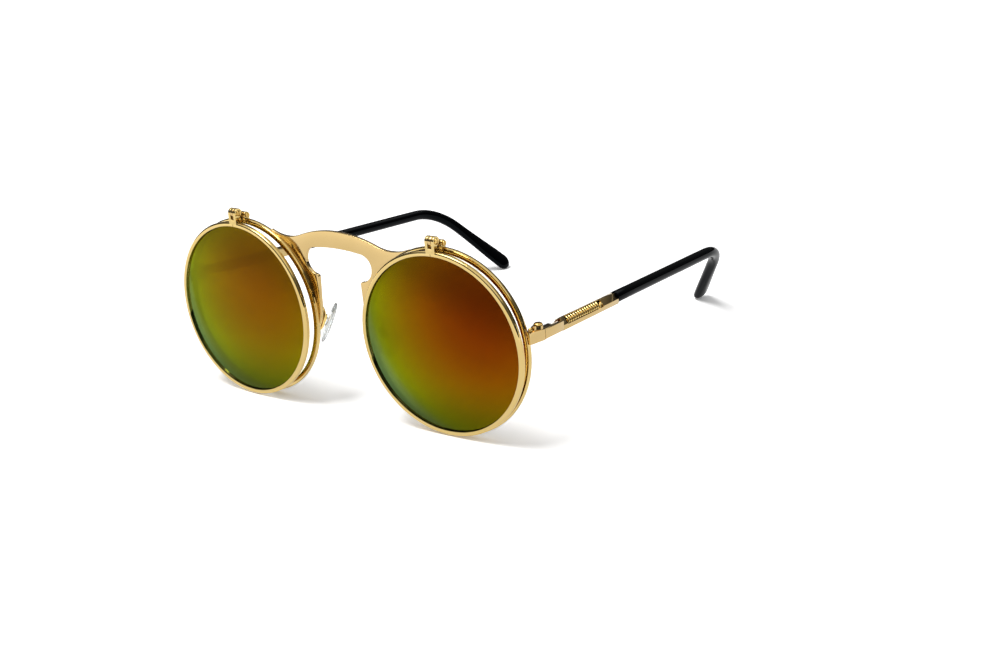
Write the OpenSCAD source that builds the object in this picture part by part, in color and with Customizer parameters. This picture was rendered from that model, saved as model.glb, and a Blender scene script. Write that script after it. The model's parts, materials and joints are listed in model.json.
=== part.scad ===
// Round metal spectacles with a second pair of mirrored lenses that flips up.
// Millimetres, +Z up. The front faces -Y, the temples run back along +Y, and the wearer's left is +X.
// The origin is on the ground, under the middle of the glasses' outline.
// Most pieces are drawn in the side frame: origin between the lens centres, on the flip rims' front plane,
// with +X towards the temple. The ring frame is the same, centred on one lens and turned by the wrap angle.

/* [Front] */
// Distance between the two lens centres
centres = 71; // [66:0.5:78]
// Angle by which each lens turns back towards its temple
wrap = 2.25; // [0:0.25:4]
// Outer radius of all four rims
rim_r = 26; // [24:0.25:28]
// Depth of the groove that holds a lens
groove = 0.3; // [0.2:0.05:0.4]
// Width of the saw cut that lets a rim open for its lens
rim_cut = 0.14; // [0.1:0.02:0.3]

/* [Base rims] */
// Width of a base rim seen from the front
base_w = 1.6; // [1.2:0.1:2]
// Thickness of a base rim, front to back
base_t = 1.5; // [1.4:0.1:2]
// Space between the back of a flip rim and the front of a base rim
rim_gap = 2.3; // [2:0.1:3]

/* [Flip rims] */
// Width of a flip rim seen from the front
flip_w = 1.25; // [0.9:0.05:1.6]
// How much smaller a flip rim's radius is than the base rim's
flip_in = 0.3; // [0:0.05:0.5]
// Thickness of a flip rim, front to back
flip_t = 1.4; // [1.4:0.1:1.8]
// How far past vertical the wearer's left flip rim hangs
hang_left = 2; // [0:0.25:2]
// How far past vertical the wearer's right flip rim hangs
hang_right = -0.5; // [-1:0.25:2]

/* [Lenses] */
// Thickness of every lens
lens_t = 1; // [0.8:0.1:1.2]
// Radius of the dome that every lens is cut from
lens_dome = 260; // [200:10:400]
// Space left between a lens and its groove
lens_clear = 0.05; // [0.02:0.01:0.1]

/* [Bridge plate] */
// Thickness of the flat plate that joins the base rims
plate_t = 1.1; // [0.8:0.1:1.4]
// How far the plate's face is set back from the face of the base rims
plate_set = 0.8; // [0.5:0.1:1]
// Radius to which the plate is bent in the middle
plate_bend = 150; // [80:10:200]
// Height of the plate's crown over the lens centres
crown_z = 26.2; // [25.5:0.1:27]
// Radius of the crown
crown_r = 38; // [34:1:44]
// Distance from the middle to the dip beside the crown
dip_x = 18.9; // [18:0.1:20]
// Radius of the dip
dip_r = 14.7; // [12:0.1:17]
// Distance from the middle to the centre of each lobe of the keyhole
lobe_x = 8; // [6.5:0.05:8.5]
// Height of the lobes' centres over the lens centres
lobe_z = 16.9; // [16:0.1:17.2]
// Radius of the lobes
lobe_r = 3.9; // [3.5:0.1:4.2]
// Rise of the keyhole's arched top over its lobes
key_rise = 0.65; // [0.3:0.05:1]
// Half width of the nose gap just under the keyhole
nose_x = 7.7; // [6.2:0.1:8]
// Rounding of the two small corners under the keyhole
nub_r = 0.7; // [0.4:0.1:0.8]
// Angle below the lens centre at which the nasal strip runs out into the rim
strip_end = 5; // [3:1:20]

/* [Flip hinge] */
// Height of the flip hinge's axis over the top of the rims
flip_axis_up = 2.3; // [2.1:0.1:2.8]
// Distance from the flip rim's face back to the axis
flip_axis_back = 1.3; // [1.2:0.1:1.5]
// Radius of the round eyes on the hinge
eye_r = 1.35; // [1.2:0.05:1.45]
// How far the block between the ears stands up over the flip rim
block_up = 0.95; // [0.5:0.05:1]
// Width of each ear on the flip rim
ear_w = 0.86; // [0.7:0.02:1]
// Width of the link between the ears
link_w = 1.05; // [0.9:0.05:1.3]
// Height of the link's bar
link_h = 1.5; // [1.2:0.1:1.8]
// Sideways space between the link and an ear
ear_gap = 0.07; // [0.05:0.01:0.12]
// Radius of the round lugs on the base rim
lug_r = 0.95; // [0.85:0.05:1]
// Width of each lug on the base rim
lug_w = 0.75; // [0.6:0.05:1]
// Radius of the flip hinge's screw
flip_pin_r = 0.5; // [0.4:0.05:0.6]
// Radius of the screw that clamps the link between the lugs
lug_pin_r = 0.4; // [0.3:0.05:0.45]

/* [Endpieces and temple hinges] */
// How far the endpiece stands out past the rim
end_out = 0.67; // [0.5:0.05:1]
// Length of the endpiece's outer face, front to back
end_len = 4.7; // [4.5:0.1:6]
// How much the endpiece flares out over that length
end_flare = 1.4; // [1:0.1:1.8]
// Height of the endpiece's middle over the lens centre
end_z = 4.85; // [4:0.05:6]
// Height of the endpiece at the rim
end_h = 3.4; // [3:0.1:3.8]
// Thickness of the outer plate of the endpiece and of the temple's front
side_t = 1.2; // [1:0.1:1.4]
// Radius of the hinge barrel
barrel_r = 1.3; // [1.1:0.05:1.35]
// Height of one knuckle of the barrel
knuckle_h = 1.3; // [1.1:0.1:1.4]
// Length of the leaf that carries the endpiece's knuckles
outer_leaf = 2.2; // [1.8:0.1:2.4]
// Length of the leaf that carries the temple's knuckle
inner_leaf = 5.4; // [4:0.1:6]
// Space between two knuckles
knuckle_gap = 0.1; // [0.06:0.02:0.14]
// Distance from the outer face in to the hinge axis
hinge_in = 1.9; // [1.8:0.05:2.1]
// Distance from the split forward to the hinge axis
hinge_ahead = 0.5; // [0.4:0.05:0.8]
// Width of the split between the endpiece and the temple
split_w = 0.15; // [0.12:0.01:0.25]
// Radius of the hinge screw
hinge_pin_r = 0.5; // [0.4:0.05:0.6]
// Radial space round every screw
pin_clear = 0.04; // [0.03:0.01:0.06]

/* [Temples] */
// Angle by which each temple closes in towards the back
temple_in = 2.85; // [2:0.05:6]
// Length from the hinge split to the corner of the ear bend
temple_len = 106.2; // [98:0.5:112]
// Length of the flat front of the temple
front_len = 8.9; // [8:0.1:11]
// Height of the flat front of the temple
front_h = 2.75; // [2.4:0.05:3]
// Distance from the split to the end of the metal sleeve
metal_len = 38.3; // [36:0.1:42]
// Height of the sleeve at its front
sleeve_h = 3.3; // [3.2:0.1:3.6]
// Height of the sleeve at its back
sleeve_back_h = 3; // [3:0.1:3.4]
// Width of the sleeve, side to side
sleeve_w = 3.2; // [3.2:0.1:3.5]
// Height over the sleeve's middle at which its slanted outer side starts
facet_z = -0.1; // [-0.3:0.05:0.2]
// Distance from the sleeve's middle at which the slanted side meets its top
facet_x = 0.35; // [0.2:0.05:0.6]
// Length of the window in the sleeve
window_len = 18.7; // [16:0.1:20]
// Distance from the sleeve's front to its window
window_at = 2.2; // [1.2:0.1:2.8]

/* [Springs] */
// Turns of the spring seen in the window
coil_turns = 14; // [10:1:14]
// Radius of the spring's wire
coil_wire = 0.34; // [0.3:0.01:0.36]
// Radius of the spring's outside
coil_r = 1.38; // [1.3:0.01:1.38]
// Radius of the rod inside the spring
rod_r = 0.65; // [0.5:0.01:0.68]

/* [Temple tips] */
// Radius of the tip where it meets the metal
tip_r = 1.68; // [1.5:0.01:1.8]
// Half height of the paddle at the end of the tip
paddle_h = 3; // [2.4:0.1:3.3]
// Half thickness of the paddle
paddle_w = 1.6; // [1.4:0.1:2]
// Angle of the ear bend
bend_angle = 53; // [44:1:58]
// Radius of the ear bend
bend_r = 21; // [16:1:24]
// Angle by which the bend turns in towards the head
bend_roll = 36; // [25:1:40]
// Length from the corner of the ear bend to the end of the tip
tail_len = 34.7; // [30:0.1:38]
// Radius of the core wire in the tip
core_r = 0.6; // [0.4:0.05:0.65]

/* [Nose pads] */
// Length of a nose pad
pad_len = 13.6; // [12:0.1:15]
// Width of a nose pad
pad_w = 7.2; // [6:0.1:8]
// Thickness of a nose pad
pad_t = 1.9; // [1.6:0.1:2.2]
// How far the centre of a pad lies past the nasal side of its rim
pad_past = 0.6; // [0.3:0.1:1]
// Distance from the back of a base rim to the centre of a pad
pad_behind = 3; // [2.8:0.1:3.6]
// Height of a pad's centre over the lens centres
pad_z = -2.7; // [-4:0.1:-2]
// Angle by which the pads open towards the back
pad_splay = 37; // [30:1:42]
// Angle by which the pads close in towards the top
pad_slope = 30; // [20:1:34]
// Radius of the wire that carries a pad
pad_wire = 0.45; // [0.35:0.05:0.5]

/* [Hidden] */

left = 1;
right = -1;
fine = 96;
small = 40;
far = 60;
sink = 0.3;

gold = [0.86, 0.72, 0.42];
gold_bright = [0.95, 0.78, 0.36];
gold_deep = [0.62, 0.48, 0.22];
mirror_olive = [0.52, 0.4, 0.06];
clear_tint = [0.9, 0.95, 0.95, 0.35];
silicone = [0.88, 0.92, 0.92, 0.6];
black_gloss = [0.03, 0.03, 0.035];

// Depths in the ring frame, from the face of the flip rims back
flip_groove_y = flip_t * 0.56;
flip_r = rim_r - flip_in;
base_y = flip_t + rim_gap;
base_back = base_y + base_t;
base_groove_y = base_y + base_t * 0.52;
plate_y = base_y + plate_set;
chamfer = 0.18;

// Flip hinge, in the ring frame
axis_y = flip_axis_back;
axis_z = rim_r + flip_axis_up;
lug_y = base_y + base_t / 2;
lug_z = rim_r + lug_r + 0.1;
ear_in = link_w / 2 + ear_gap;
ear_out = ear_in + ear_w;
block_z = flip_r + block_up;
lug_in = link_w / 2;
lug_out = lug_in + lug_w;

// Endpiece and temple hinge, in the side frame
end_face = base_y + 0.15;
corner = to_side([rim_r + end_out, end_face]);
split = corner + [end_flare, end_len];
end_dir = [end_flare, end_len] / norm([end_flare, end_len]);
end_in = [-end_dir.y, end_dir.x];
hinge = split + [-hinge_in, -hinge_ahead];
end_back_h = front_h + 0.05;
barrel_pitch = knuckle_h + knuckle_gap;
barrel_z = end_z + 0.4;
screw_seat = barrel_z + knuckle_h / 2 + barrel_pitch;

// Temple frame: origin on the sleeve's centre line at the split, +Y along the arm
arm = [split.x - sleeve_w / 2, split.y, end_z + 0.15];
bend_tangent = bend_r * tan(bend_angle / 2);
straight_len = temple_len - bend_tangent;
tail_straight = tail_len - bend_tangent;
ring_z = rim_r;
pad_x = centres / 2 - rim_r + pad_past;
pad_y = base_back + pad_behind;

// Space between the coils' ends and the window, and the coil's own sizes
coil_mid = coil_r - coil_wire;
coil_lead = 2 * coil_wire;
coil_bore = coil_r + 0.04;
window_low = facet_z - 0.2;
coil_pitch = (window_len - 2 * coil_lead - 2 * coil_wire) / coil_turns;
coil_steps = 8;

function to_side(p) = [
    centres / 2 + p.x * cos(wrap) - p.y * sin(wrap),
    p.x * sin(wrap) + p.y * cos(wrap)
];
function arc(c, r, a0, a1, n = 8) = [for (i = [0:n]) c + r * [cos(a0 + (a1 - a0) * i / n), sin(a0 + (a1 - a0) * i / n)]];
function bezier(a, b, c, n = 8) = [for (i = [0:n]) let (t = i / n) a * (1 - t) * (1 - t) + b * 2 * t * (1 - t) + c * t * t];
function unit(v) = v / norm(v);
function smooth(t) = t * t * (3 - 2 * t);

// Stations along the black tip: [distance along, half width, half height]
cap_steps = 5;
tip_flat = tail_straight - paddle_h;
core_tail = tip_flat - 4;
core_far = straight_len + bend_r * bend_angle * PI / 180 + core_tail;
tip_stations = concat(
    [for (i = [0:2]) [metal_len + (straight_len - metal_len) * i / 2, tip_r, tip_r]],
    [for (i = [1:8]) [straight_len + bend_r * bend_angle * PI / 180 * i / 8, tip_r, tip_r * (1 + 0.08 * i / 8)]],
    [for (i = [1:8]) let (t = i / 8) [
        straight_len + bend_r * bend_angle * PI / 180 + tip_flat * t,
        tip_r + (paddle_w - tip_r) * smooth(t),
        tip_r * 1.08 + (paddle_h - tip_r * 1.08) * smooth(t)
    ]],
    [for (i = [1:cap_steps]) let (a = 84 * i / cap_steps) [
        straight_len + bend_r * bend_angle * PI / 180 + tip_flat + paddle_h * sin(a),
        paddle_w * (0.25 + 0.75 * cos(a)),
        paddle_h * cos(a)
    ]]
);
// Centre and downward direction of the centre line at distance s, in the rolled temple frame (y, z)
function bend_at(s) = let (a = min(max((s - straight_len) / bend_r * 180 / PI, 0), bend_angle))
    s <= straight_len ? [0, s, 0, 0]
    : let (tail = max(s - straight_len - bend_r * bend_angle * PI / 180, 0)) [
        a,
        straight_len + bend_r * sin(a) + tail * cos(bend_angle),
        -bend_r * (1 - cos(a)) - tail * sin(bend_angle),
        0
    ];
function roll_about_arm(p) = [
    p.x * cos(bend_roll) + p.z * sin(bend_roll),
    p.y,
    -p.x * sin(bend_roll) + p.z * cos(bend_roll)
];
// One ring of points round the centre line at distance s
function tube_ring(s, half_w, half_h, sides) = let (b = bend_at(s)) [
    for (i = [0:sides - 1]) let (t = 360 * i / sides) roll_about_arm([
        half_w * cos(t),
        b[1] + half_h * sin(t) * sin(b[0]),
        b[2] + half_h * sin(t) * cos(b[0])
    ])
];
function tip_points(sides) = [for (st = tip_stations) each tube_ring(st[0], st[1], st[2], sides)];
// Height over the ground of a point of the temple frame, with the arm pitched down by p
function height_of(q, p) = ring_z + arm.z + q.z * cos(p) - q.y * sin(p);
function tip_low(p) = min([for (q = tip_points(16)) height_of(q, p)]);
function settle(p, n) = n == 0 ? p : settle(p + tip_low(p) / (temple_len + tail_len) * 180 / PI, n - 1);
// The pitch that brings the tips down to the ground that the rims stand on
temple_pitch = settle(4, 4);

// Outline of the whole, for the origin
tip_far = max([for (q = tip_points(16)) arm.y
    + q.x * sin(temple_in) + (q.y * cos(temple_pitch) + q.z * sin(temple_pitch)) * cos(temple_in)]);
front_near = -rim_r * sin(wrap) + axis_z * sin(hang_right);
front_y = -(tip_far + front_near) / 2;

// Faces of a closed tube through rings of equal size, first ring first
function tube_faces(rings, sides, flip = false) = let (f = concat(
    [[for (i = [0:sides - 1]) i]],
    [for (k = [0:rings - 2], i = [0:sides - 1]) each [
        [k * sides + i, (k + 1) * sides + i, (k + 1) * sides + (i + 1) % sides],
        [k * sides + i, (k + 1) * sides + (i + 1) % sides, k * sides + (i + 1) % sides]
    ]],
    [[for (i = [sides - 1:-1:0]) (rings - 1) * sides + i]]
)) flip ? [for (g = f) [for (i = [len(g) - 1:-1:0]) g[i]]] : f;

// Frames that the sub-parts are drawn in
module side_frame(s) {
    mirror([s < 0 ? 1 : 0, 0, 0]) translate([0, front_y, ring_z]) children();
}
module ring_frame(s) {
    side_frame(s) translate([centres / 2, 0, 0]) rotate([0, 0, wrap]) children();
}
// The ring frame, swung closed about the flip hinge by the angle at which that rim hangs
module flip_frame(s) {
    hang = s > 0 ? hang_left : hang_right;
    ring_frame(s) translate([0, axis_y, axis_z]) rotate([hang, 0, 0]) translate([0, -axis_y, -axis_z]) children();
}
module temple_frame(s) {
    side_frame(s) translate(arm) rotate([-temple_pitch, 0, temple_in]) children();
}
// A shape of revolution about the ring's own axis, drawn as radius and depth
module lathe_y(n = fine) {
    rotate([-90, 0, 0]) rotate_extrude($fn = n) children();
}
// A flat shape drawn in depth and height, given a width along X from x0 to x1
module across(x0, x1) {
    translate([x0, 0, 0]) rotate([90, 0, 90]) linear_extrude(x1 - x0) children();
}
// A rod along X
module rod_x(x0, x1, y, z, r) {
    translate([x0, y, z]) rotate([0, 90, 0]) cylinder(h = x1 - x0, r = r, $fn = small);
}
module ring_hole(r) {
    rotate([-90, 0, 0]) translate([0, 0, -far]) cylinder(h = 2 * far, r = r, $fn = fine);
}

module rim_section(r, w, t, y0, groove_y) {
    inner = r - w;
    polygon([
        [inner, y0 + chamfer], [inner + chamfer, y0], [r - chamfer, y0], [r, y0 + chamfer],
        [r, y0 + t - chamfer], [r - chamfer, y0 + t], [inner, y0 + t],
        [inner, groove_y + groove], [inner + groove, groove_y], [inner, groove_y - groove]
    ]);
}

// A domed lens whose bevelled edge sits in the groove of a rim with the inner radius r
module lens(r, groove_y) {
    edge = r - lens_clear;
    apex = groove_y - lens_t / 2 - (lens_dome - sqrt(lens_dome * lens_dome - edge * edge));
    lathe_y() intersection() {
        difference() {
            translate([0, apex + lens_dome]) circle(r = lens_dome, $fn = 720);
            translate([0, apex + lens_dome]) circle(r = lens_dome - lens_t, $fn = 720);
        }
        polygon([
            [0, -far / 4], [edge, -far / 4], [edge, groove_y - groove], [edge + groove, groove_y],
            [edge, groove_y + groove], [edge, far / 4], [0, far / 4]
        ]);
    }
}

module base_rim(s) {
    color(gold) ring_frame(s) difference() {
        union() {
            lathe_y() rim_section(rim_r, base_w, base_t, base_y, base_groove_y);
            for (m = [0, 1]) mirror([m, 0, 0]) across(lug_in, lug_out) union() {
                translate([lug_y, lug_z]) circle(r = lug_r, $fn = small);
                translate([lug_y - lug_r, rim_r - base_w / 2]) square([2 * lug_r, base_w / 2 + lug_z - rim_r]);
            }
        }
        rod_x(-far, far, lug_y, lug_z, lug_pin_r + pin_clear);
        translate([rim_r - base_w - 1, base_y - 1, end_z - rim_cut / 2]) cube([base_w + 2, base_t + 2, rim_cut]);
    }
}

module clear_lens(s) {
    color(clear_tint) ring_frame(s) lens(rim_r - base_w, base_groove_y);
}

// Half of the bridge plate's outline, from the middle of the crown to the middle of the keyhole
module plate_outline() {
    crown_c = [0, crown_z - crown_r];
    dip_c = [dip_x, crown_c.y + sqrt(pow(crown_r + dip_r, 2) - dip_x * dip_x)];
    tangent_a = atan2(dip_c.y - crown_c.y, dip_c.x);
    arch_r = (lobe_x * lobe_x + pow(lobe_r + key_rise, 2) - lobe_r * lobe_r) / (2 * key_rise);
    arch_c = [0, lobe_z + lobe_r + key_rise - arch_r];
    arch_a = atan2(lobe_z - arch_c.y, lobe_x);
    run_out = [centres / 2 - rim_r * cos(strip_end), -rim_r * sin(strip_end)];
    lobe_floor = lobe_z - sqrt(lobe_r * lobe_r - pow(lobe_x - nose_x - nub_r, 2));
    half = concat(
        arc(crown_c, crown_r, 90, tangent_a, 12),
        arc(dip_c, dip_r, tangent_a + 180, 292, 10),
        [[centres / 2, rim_r / 2], [centres / 2, -rim_r * sin(strip_end)]],
        bezier(run_out, [nose_x + 0.25, 1], [nose_x + 0.3, 6], 8),
        arc([nose_x + nub_r, lobe_floor - nub_r], nub_r, 180, 90, 5),
        arc([lobe_x, lobe_z], lobe_r, 270 + asin((nose_x + nub_r - lobe_x) / lobe_r), 360 + arch_a, 16),
        arc(arch_c, arch_r, arch_a, 90, 5)
    );
    polygon(concat(half, [for (i = [len(half) - 2:-1:1]) [-half[i].x, half[i].y]]));
}

// The bent strip of sheet that the plate is cut from, seen from above
module plate_bend_plan() {
    face = to_side([0, plate_y]);
    bend_c = [0, face.y + (plate_bend - face.x * sin(wrap)) / cos(wrap)];
    right_end = [[cos(wrap), sin(wrap)] * far];
    left_end = [[-cos(wrap), sin(wrap)] * far];
    front = arc(bend_c, plate_bend, 270 - wrap, 270 + wrap, 8);
    back = arc(bend_c, plate_bend - plate_t, 270 + wrap, 270 - wrap, 8);
    polygon(concat(left_end + [front[0]], front, right_end + [front[8]], right_end + [back[0]], back, left_end + [back[8]]));
}

module bridge_plate() {
    color(gold) difference() {
        intersection() {
            translate([0, front_y + far / 2, ring_z]) rotate([90, 0, 0]) linear_extrude(far) plate_outline();
            translate([0, front_y, ring_z - far]) linear_extrude(2 * far) plate_bend_plan();
        }
        for (s = [left, right]) ring_frame(s) ring_hole(rim_r);
    }
}

// Plan of the endpiece, from the rim round the front corner to the split
module endpiece_plan() {
    r = 0.45;
    root = to_side([rim_r - base_w / 2, end_face]);
    back = to_side([rim_r - base_w / 2, end_face + 2.4]);
    front_a = wrap - 90;
    side_a = atan2(end_dir.y, end_dir.x) - 90;
    turn = side_a - front_a;
    inset = r * tan(turn / 2);
    round_c = corner + (inset * end_dir) + r * end_in;
    split_out = corner + end_dir * (end_len - split_w) / end_dir.y;
    split_in = split_out + side_t * end_in / end_in.x * -1;
    polygon(concat(
        [root],
        arc(round_c, r, front_a, side_a, 6),
        [split_out, split_in, split_in - end_dir * 2.2, back]
    ));
}

// Two knuckles of the barrel with the leaf that joins them to the endpiece
module outer_knuckles() {
    for (k = [-1, 1]) translate([0, 0, barrel_z + k * barrel_pitch - knuckle_h / 2]) linear_extrude(knuckle_h) union() {
        translate(hinge) circle(r = barrel_r, $fn = small);
        polygon([
            hinge + [-barrel_r, 0], hinge + [0.4, 0], hinge + [0.4, -outer_leaf], hinge + [-barrel_r + 0.6, -outer_leaf]
        ]);
    }
}

module endpiece(s) {
    color(gold) difference() {
        side_frame(s) difference() {
            union() {
                intersection() {
                    translate([0, 0, -far]) linear_extrude(2 * far) endpiece_plan();
                    across(0, 2 * far) polygon([
                        [corner.y - 2, end_z - end_h / 2], [split.y, end_z - end_back_h / 2],
                        [split.y, end_z + end_back_h / 2], [corner.y - 2, end_z + end_h / 2]
                    ]);
                }
                outer_knuckles();
            }
            translate([hinge.x, hinge.y, barrel_z - knuckle_h / 2 - knuckle_gap])
                cylinder(h = knuckle_h + 2 * knuckle_gap, r = barrel_r + split_w, $fn = small);
            translate([hinge.x, hinge.y, -far]) cylinder(h = 2 * far, r = hinge_pin_r + pin_clear, $fn = small);
        }
        ring_frame(s) ring_hole(rim_r);
        ring_frame(s) translate([lock_x, lock_y, end_z + lock_low]) cylinder(h = far, r = lock_r + pin_clear, $fn = small);
    }
}

// Screw through the root of the endpiece, with a ball head
lock_r = 0.35;
lock_low = 0.4;
lock_x = rim_r - 0.05;
lock_y = end_face + 1.15;
module rim_lock_screw(s) {
    seat = end_z + end_h / 2;
    color(gold_bright) ring_frame(s) translate([lock_x, lock_y, 0]) {
        translate([0, 0, end_z + lock_low]) cylinder(h = end_h / 2 - lock_low + sink, r = lock_r, $fn = small);
        translate([0, 0, seat]) cylinder(h = 0.25, r = 0.62, $fn = small);
        translate([0, 0, seat + 0.25]) intersection() {
            sphere(r = 0.62, $fn = small);
            translate([-1, -1, 0]) cube(2);
        }
    }
}

// Link that stands out from the base rim and carries the flip hinge
module flip_link(s) {
    span = [lug_y - axis_y, lug_z - axis_z];
    color(gold_deep) ring_frame(s) difference() {
        across(-link_w / 2, link_w / 2) union() {
            translate([axis_y, axis_z]) circle(r = eye_r, $fn = small);
            translate([lug_y, lug_z]) circle(r = lug_r - 0.05, $fn = small);
            translate([axis_y, axis_z]) rotate(atan2(span.y, span.x)) translate([0, -link_h / 2]) square([norm(span), link_h]);
        }
        rod_x(-far, far, axis_y, axis_z, flip_pin_r + pin_clear);
        rod_x(-far, far, lug_y, lug_z, lug_pin_r + pin_clear);
    }
}

// A screw across the hinge with a round slotted head at its +X end
module cross_screw(x_end, y, z, r, head_r, head_t) {
    difference() {
        union() {
            rod_x(-x_end - 0.12, x_end + sink, y, z, r);
            rod_x(x_end, x_end + head_t, y, z, head_r);
        }
        translate([x_end + head_t - 0.15, y - 0.1, z - head_r]) cube([1, 0.2, 2 * head_r]);
    }
}

module link_screw(s) {
    color(gold_bright) ring_frame(s) mirror([s < 0 ? 1 : 0, 0, 0]) cross_screw(lug_out, lug_y, lug_z, lug_pin_r, 0.72, 0.45);
}

module flip_hinge_screw(s) {
    color(gold_bright) flip_frame(s) mirror([s < 0 ? 1 : 0, 0, 0]) cross_screw(ear_out, axis_y, axis_z, flip_pin_r, 0.85, 0.22);
}

module flip_rim(s) {
    color(gold) flip_frame(s) difference() {
        union() {
            lathe_y() rim_section(flip_r, flip_w, flip_t, 0, flip_groove_y);
            for (m = [0, 1]) mirror([m, 0, 0]) across(ear_in, ear_out) union() {
                translate([axis_y, axis_z]) circle(r = eye_r, $fn = small);
                translate([0, flip_r - flip_w / 2]) square([flip_t, axis_z - flip_r + flip_w / 2]);
            }
            across(-ear_in, ear_in) translate([0, flip_r - flip_w / 2]) square([flip_t, block_z - flip_r + flip_w / 2]);
        }
        rod_x(-far, far, axis_y, axis_z, flip_pin_r + pin_clear);
        translate([-rim_cut / 2, -1, flip_r - flip_w - 1]) cube([rim_cut, flip_t + 2, flip_w + 1.1]);
    }
}

module flip_lens(s) {
    color(mirror_olive) flip_frame(s) lens(flip_r - flip_w, flip_groove_y);
}

// Wire from the back of the base rim, up and round to the back of the pad box
pad_foot_a = 8;
function pad_arm_path() = let (
    foot_2d = to_side([-(rim_r - base_w / 2) * cos(pad_foot_a), base_back + 0.03]),
    foot = [foot_2d.x, foot_2d.y, -(rim_r - base_w / 2) * sin(pad_foot_a)],
    box = [pad_x, pad_y, pad_z] + pad_out(pad_t / 2 + box_depth + 0.58)
) [
    foot,
    foot + [0, 0.4, 0],
    foot + [0, 0.9, 0.1],
    foot + [-0.7, 1.35, 1.7],
    foot + [-0.8, 2, 4.1],
    foot + [0.1, 2.3, 5.7],
    foot + [1, 2.3, 6],
    box + [0.1, -0.1, 3.3],
    box + [0.1, -0.1, 1.5],
    box
];
// A step away from the nose, square to the pad's face
function pad_out(d) = let (
    q = [cos(-pad_splay), sin(-pad_splay), 0]
) d * [q.x * cos(pad_slope) , q.y, q.x * sin(pad_slope)];
function catmull(p, i, t) = let (
    a = p[max(i - 1, 0)], b = p[i], c = p[i + 1], d = p[min(i + 2, len(p) - 1)]
) 0.5 * (2 * b + (c - a) * t + (2 * a - 5 * b + 4 * c - d) * t * t + (3 * b - a - 3 * c + d) * t * t * t);
function smooth_path(p, n) = concat([for (i = [0:len(p) - 2], k = [0:n - 1]) catmull(p, i, k / n)], [p[len(p) - 1]]);
function path_dir(p, i) = unit(p[min(i + 1, len(p) - 1)] - p[max(i - 1, 0)]);
// Rings carried along a path without twist
function carry(n, d) = unit(n - d * (n * d));
function path_normals(p, n0, i = 0) = i >= len(p) ? [] : let (n = carry(n0, path_dir(p, i))) concat([n], path_normals(p, n, i + 1));
function path_rings(p, r, sides, n0) = let (ns = path_normals(p, n0)) [
    for (i = [0:len(p) - 1]) let (d = path_dir(p, i), n = ns[i], b = cross(d, n))
        for (k = [0:sides - 1]) p[i] + r * (n * cos(360 * k / sides) + b * sin(360 * k / sides))
];
module wire(p, r, sides, n0) {
    polyhedron(points = path_rings(p, r, sides, n0), faces = tube_faces(len(p), sides), convexity = 6);
}

box_depth = 1.5;
box_w = 2.1;
box_h = 3.4;
box_wall = 0.35;
// The pad's own frame: +X points away from the nose, +Z along the pad
module pad_frame(s) {
    side_frame(s) translate([pad_x, pad_y, pad_z]) rotate([0, -pad_slope, 0]) rotate([0, 0, -pad_splay]) children();
}

module pad_arm(s) {
    color(gold_bright) side_frame(s) wire(smooth_path(pad_arm_path(), 3), pad_wire, 8, [1, 0, 0]);
}

module pad_box(s) {
    x0 = pad_t / 2 + 0.12;
    color(gold_bright) pad_frame(s) difference() {
        translate([x0, -box_w / 2, -box_h / 2]) cube([box_depth, box_w, box_h]);
        translate([x0 - 1, -box_w / 2 + box_wall, -box_h / 2 + box_wall])
            cube([box_depth + 1 - box_wall, box_w - 2 * box_wall, box_h - 2 * box_wall]);
        translate([x0 + box_depth / 2, -far, 0]) rotate([-90, 0, 0]) cylinder(h = 2 * far, r = 0.3 + pin_clear, $fn = small);
    }
}

module pad_screw(s) {
    x0 = pad_t / 2 + 0.12 + box_depth / 2;
    color(gold_deep) pad_frame(s) {
        translate([x0, -box_w / 2 - 0.1, 0]) rotate([-90, 0, 0]) cylinder(h = box_w + 0.2, r = 0.3, $fn = small);
        translate([x0, box_w / 2, 0]) rotate([-90, 0, 0]) cylinder(h = 0.3, r = 0.5, $fn = small);
    }
}

// Ring of the pad's skin: k runs from the outer face round the edge to the face that meets the nose
pad_sides = 24;
pad_rings = [
    [0.15, 0.78], [0.5, 0.8], [0.8, 0.72], [0.95, 0.45], [1, 0], [0.95, -0.45], [0.82, -0.78], [0.55, -0.96], [0.2, -1]
];
module nose_pad(s) {
    boss = [1.15, 1.2, 2.3];
    color(silicone) pad_frame(s) difference() {
        union() {
            polyhedron(
                points = [for (r = pad_rings, i = [0:pad_sides - 1]) let (t = 360 * i / pad_sides) [
                    r[1] * pad_t / 2,
                    r[0] * pad_w / 2 * cos(t) * (1 - 0.12 * sin(t)),
                    r[0] * pad_len / 2 * sin(t)
                ]],
                faces = tube_faces(len(pad_rings), pad_sides, true), convexity = 4
            );
            translate([pad_t / 2 - 0.4, -boss.y / 2, -boss.z / 2]) cube([boss.x + 0.4, boss.y, boss.z]);
        }
        translate([pad_t / 2 + 0.12 + box_depth / 2, -far, 0]) rotate([-90, 0, 0])
            cylinder(h = 2 * far, r = 0.3 + pin_clear, $fn = small);
    }
}

module temple_hinge_screw(s) {
    head = 1.15;
    head_h = 0.55;
    low = barrel_z - knuckle_h / 2 - barrel_pitch;
    color(gold_bright) side_frame(s) translate([hinge.x, hinge.y, 0]) difference() {
        union() {
            translate([0, 0, low]) cylinder(h = screw_seat - low + sink, r = hinge_pin_r, $fn = small);
            translate([0, 0, screw_seat]) rotate_extrude($fn = small) polygon([
                [0, 0], [head, 0], [head, head_h * 0.6], [head - 0.12, head_h * 0.85], [head - 0.3, head_h], [0, head_h]
            ]);
        }
        translate([-2, -0.15, screw_seat + head_h - 0.2]) cube([4, 0.3, 1]);
    }
}

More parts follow.
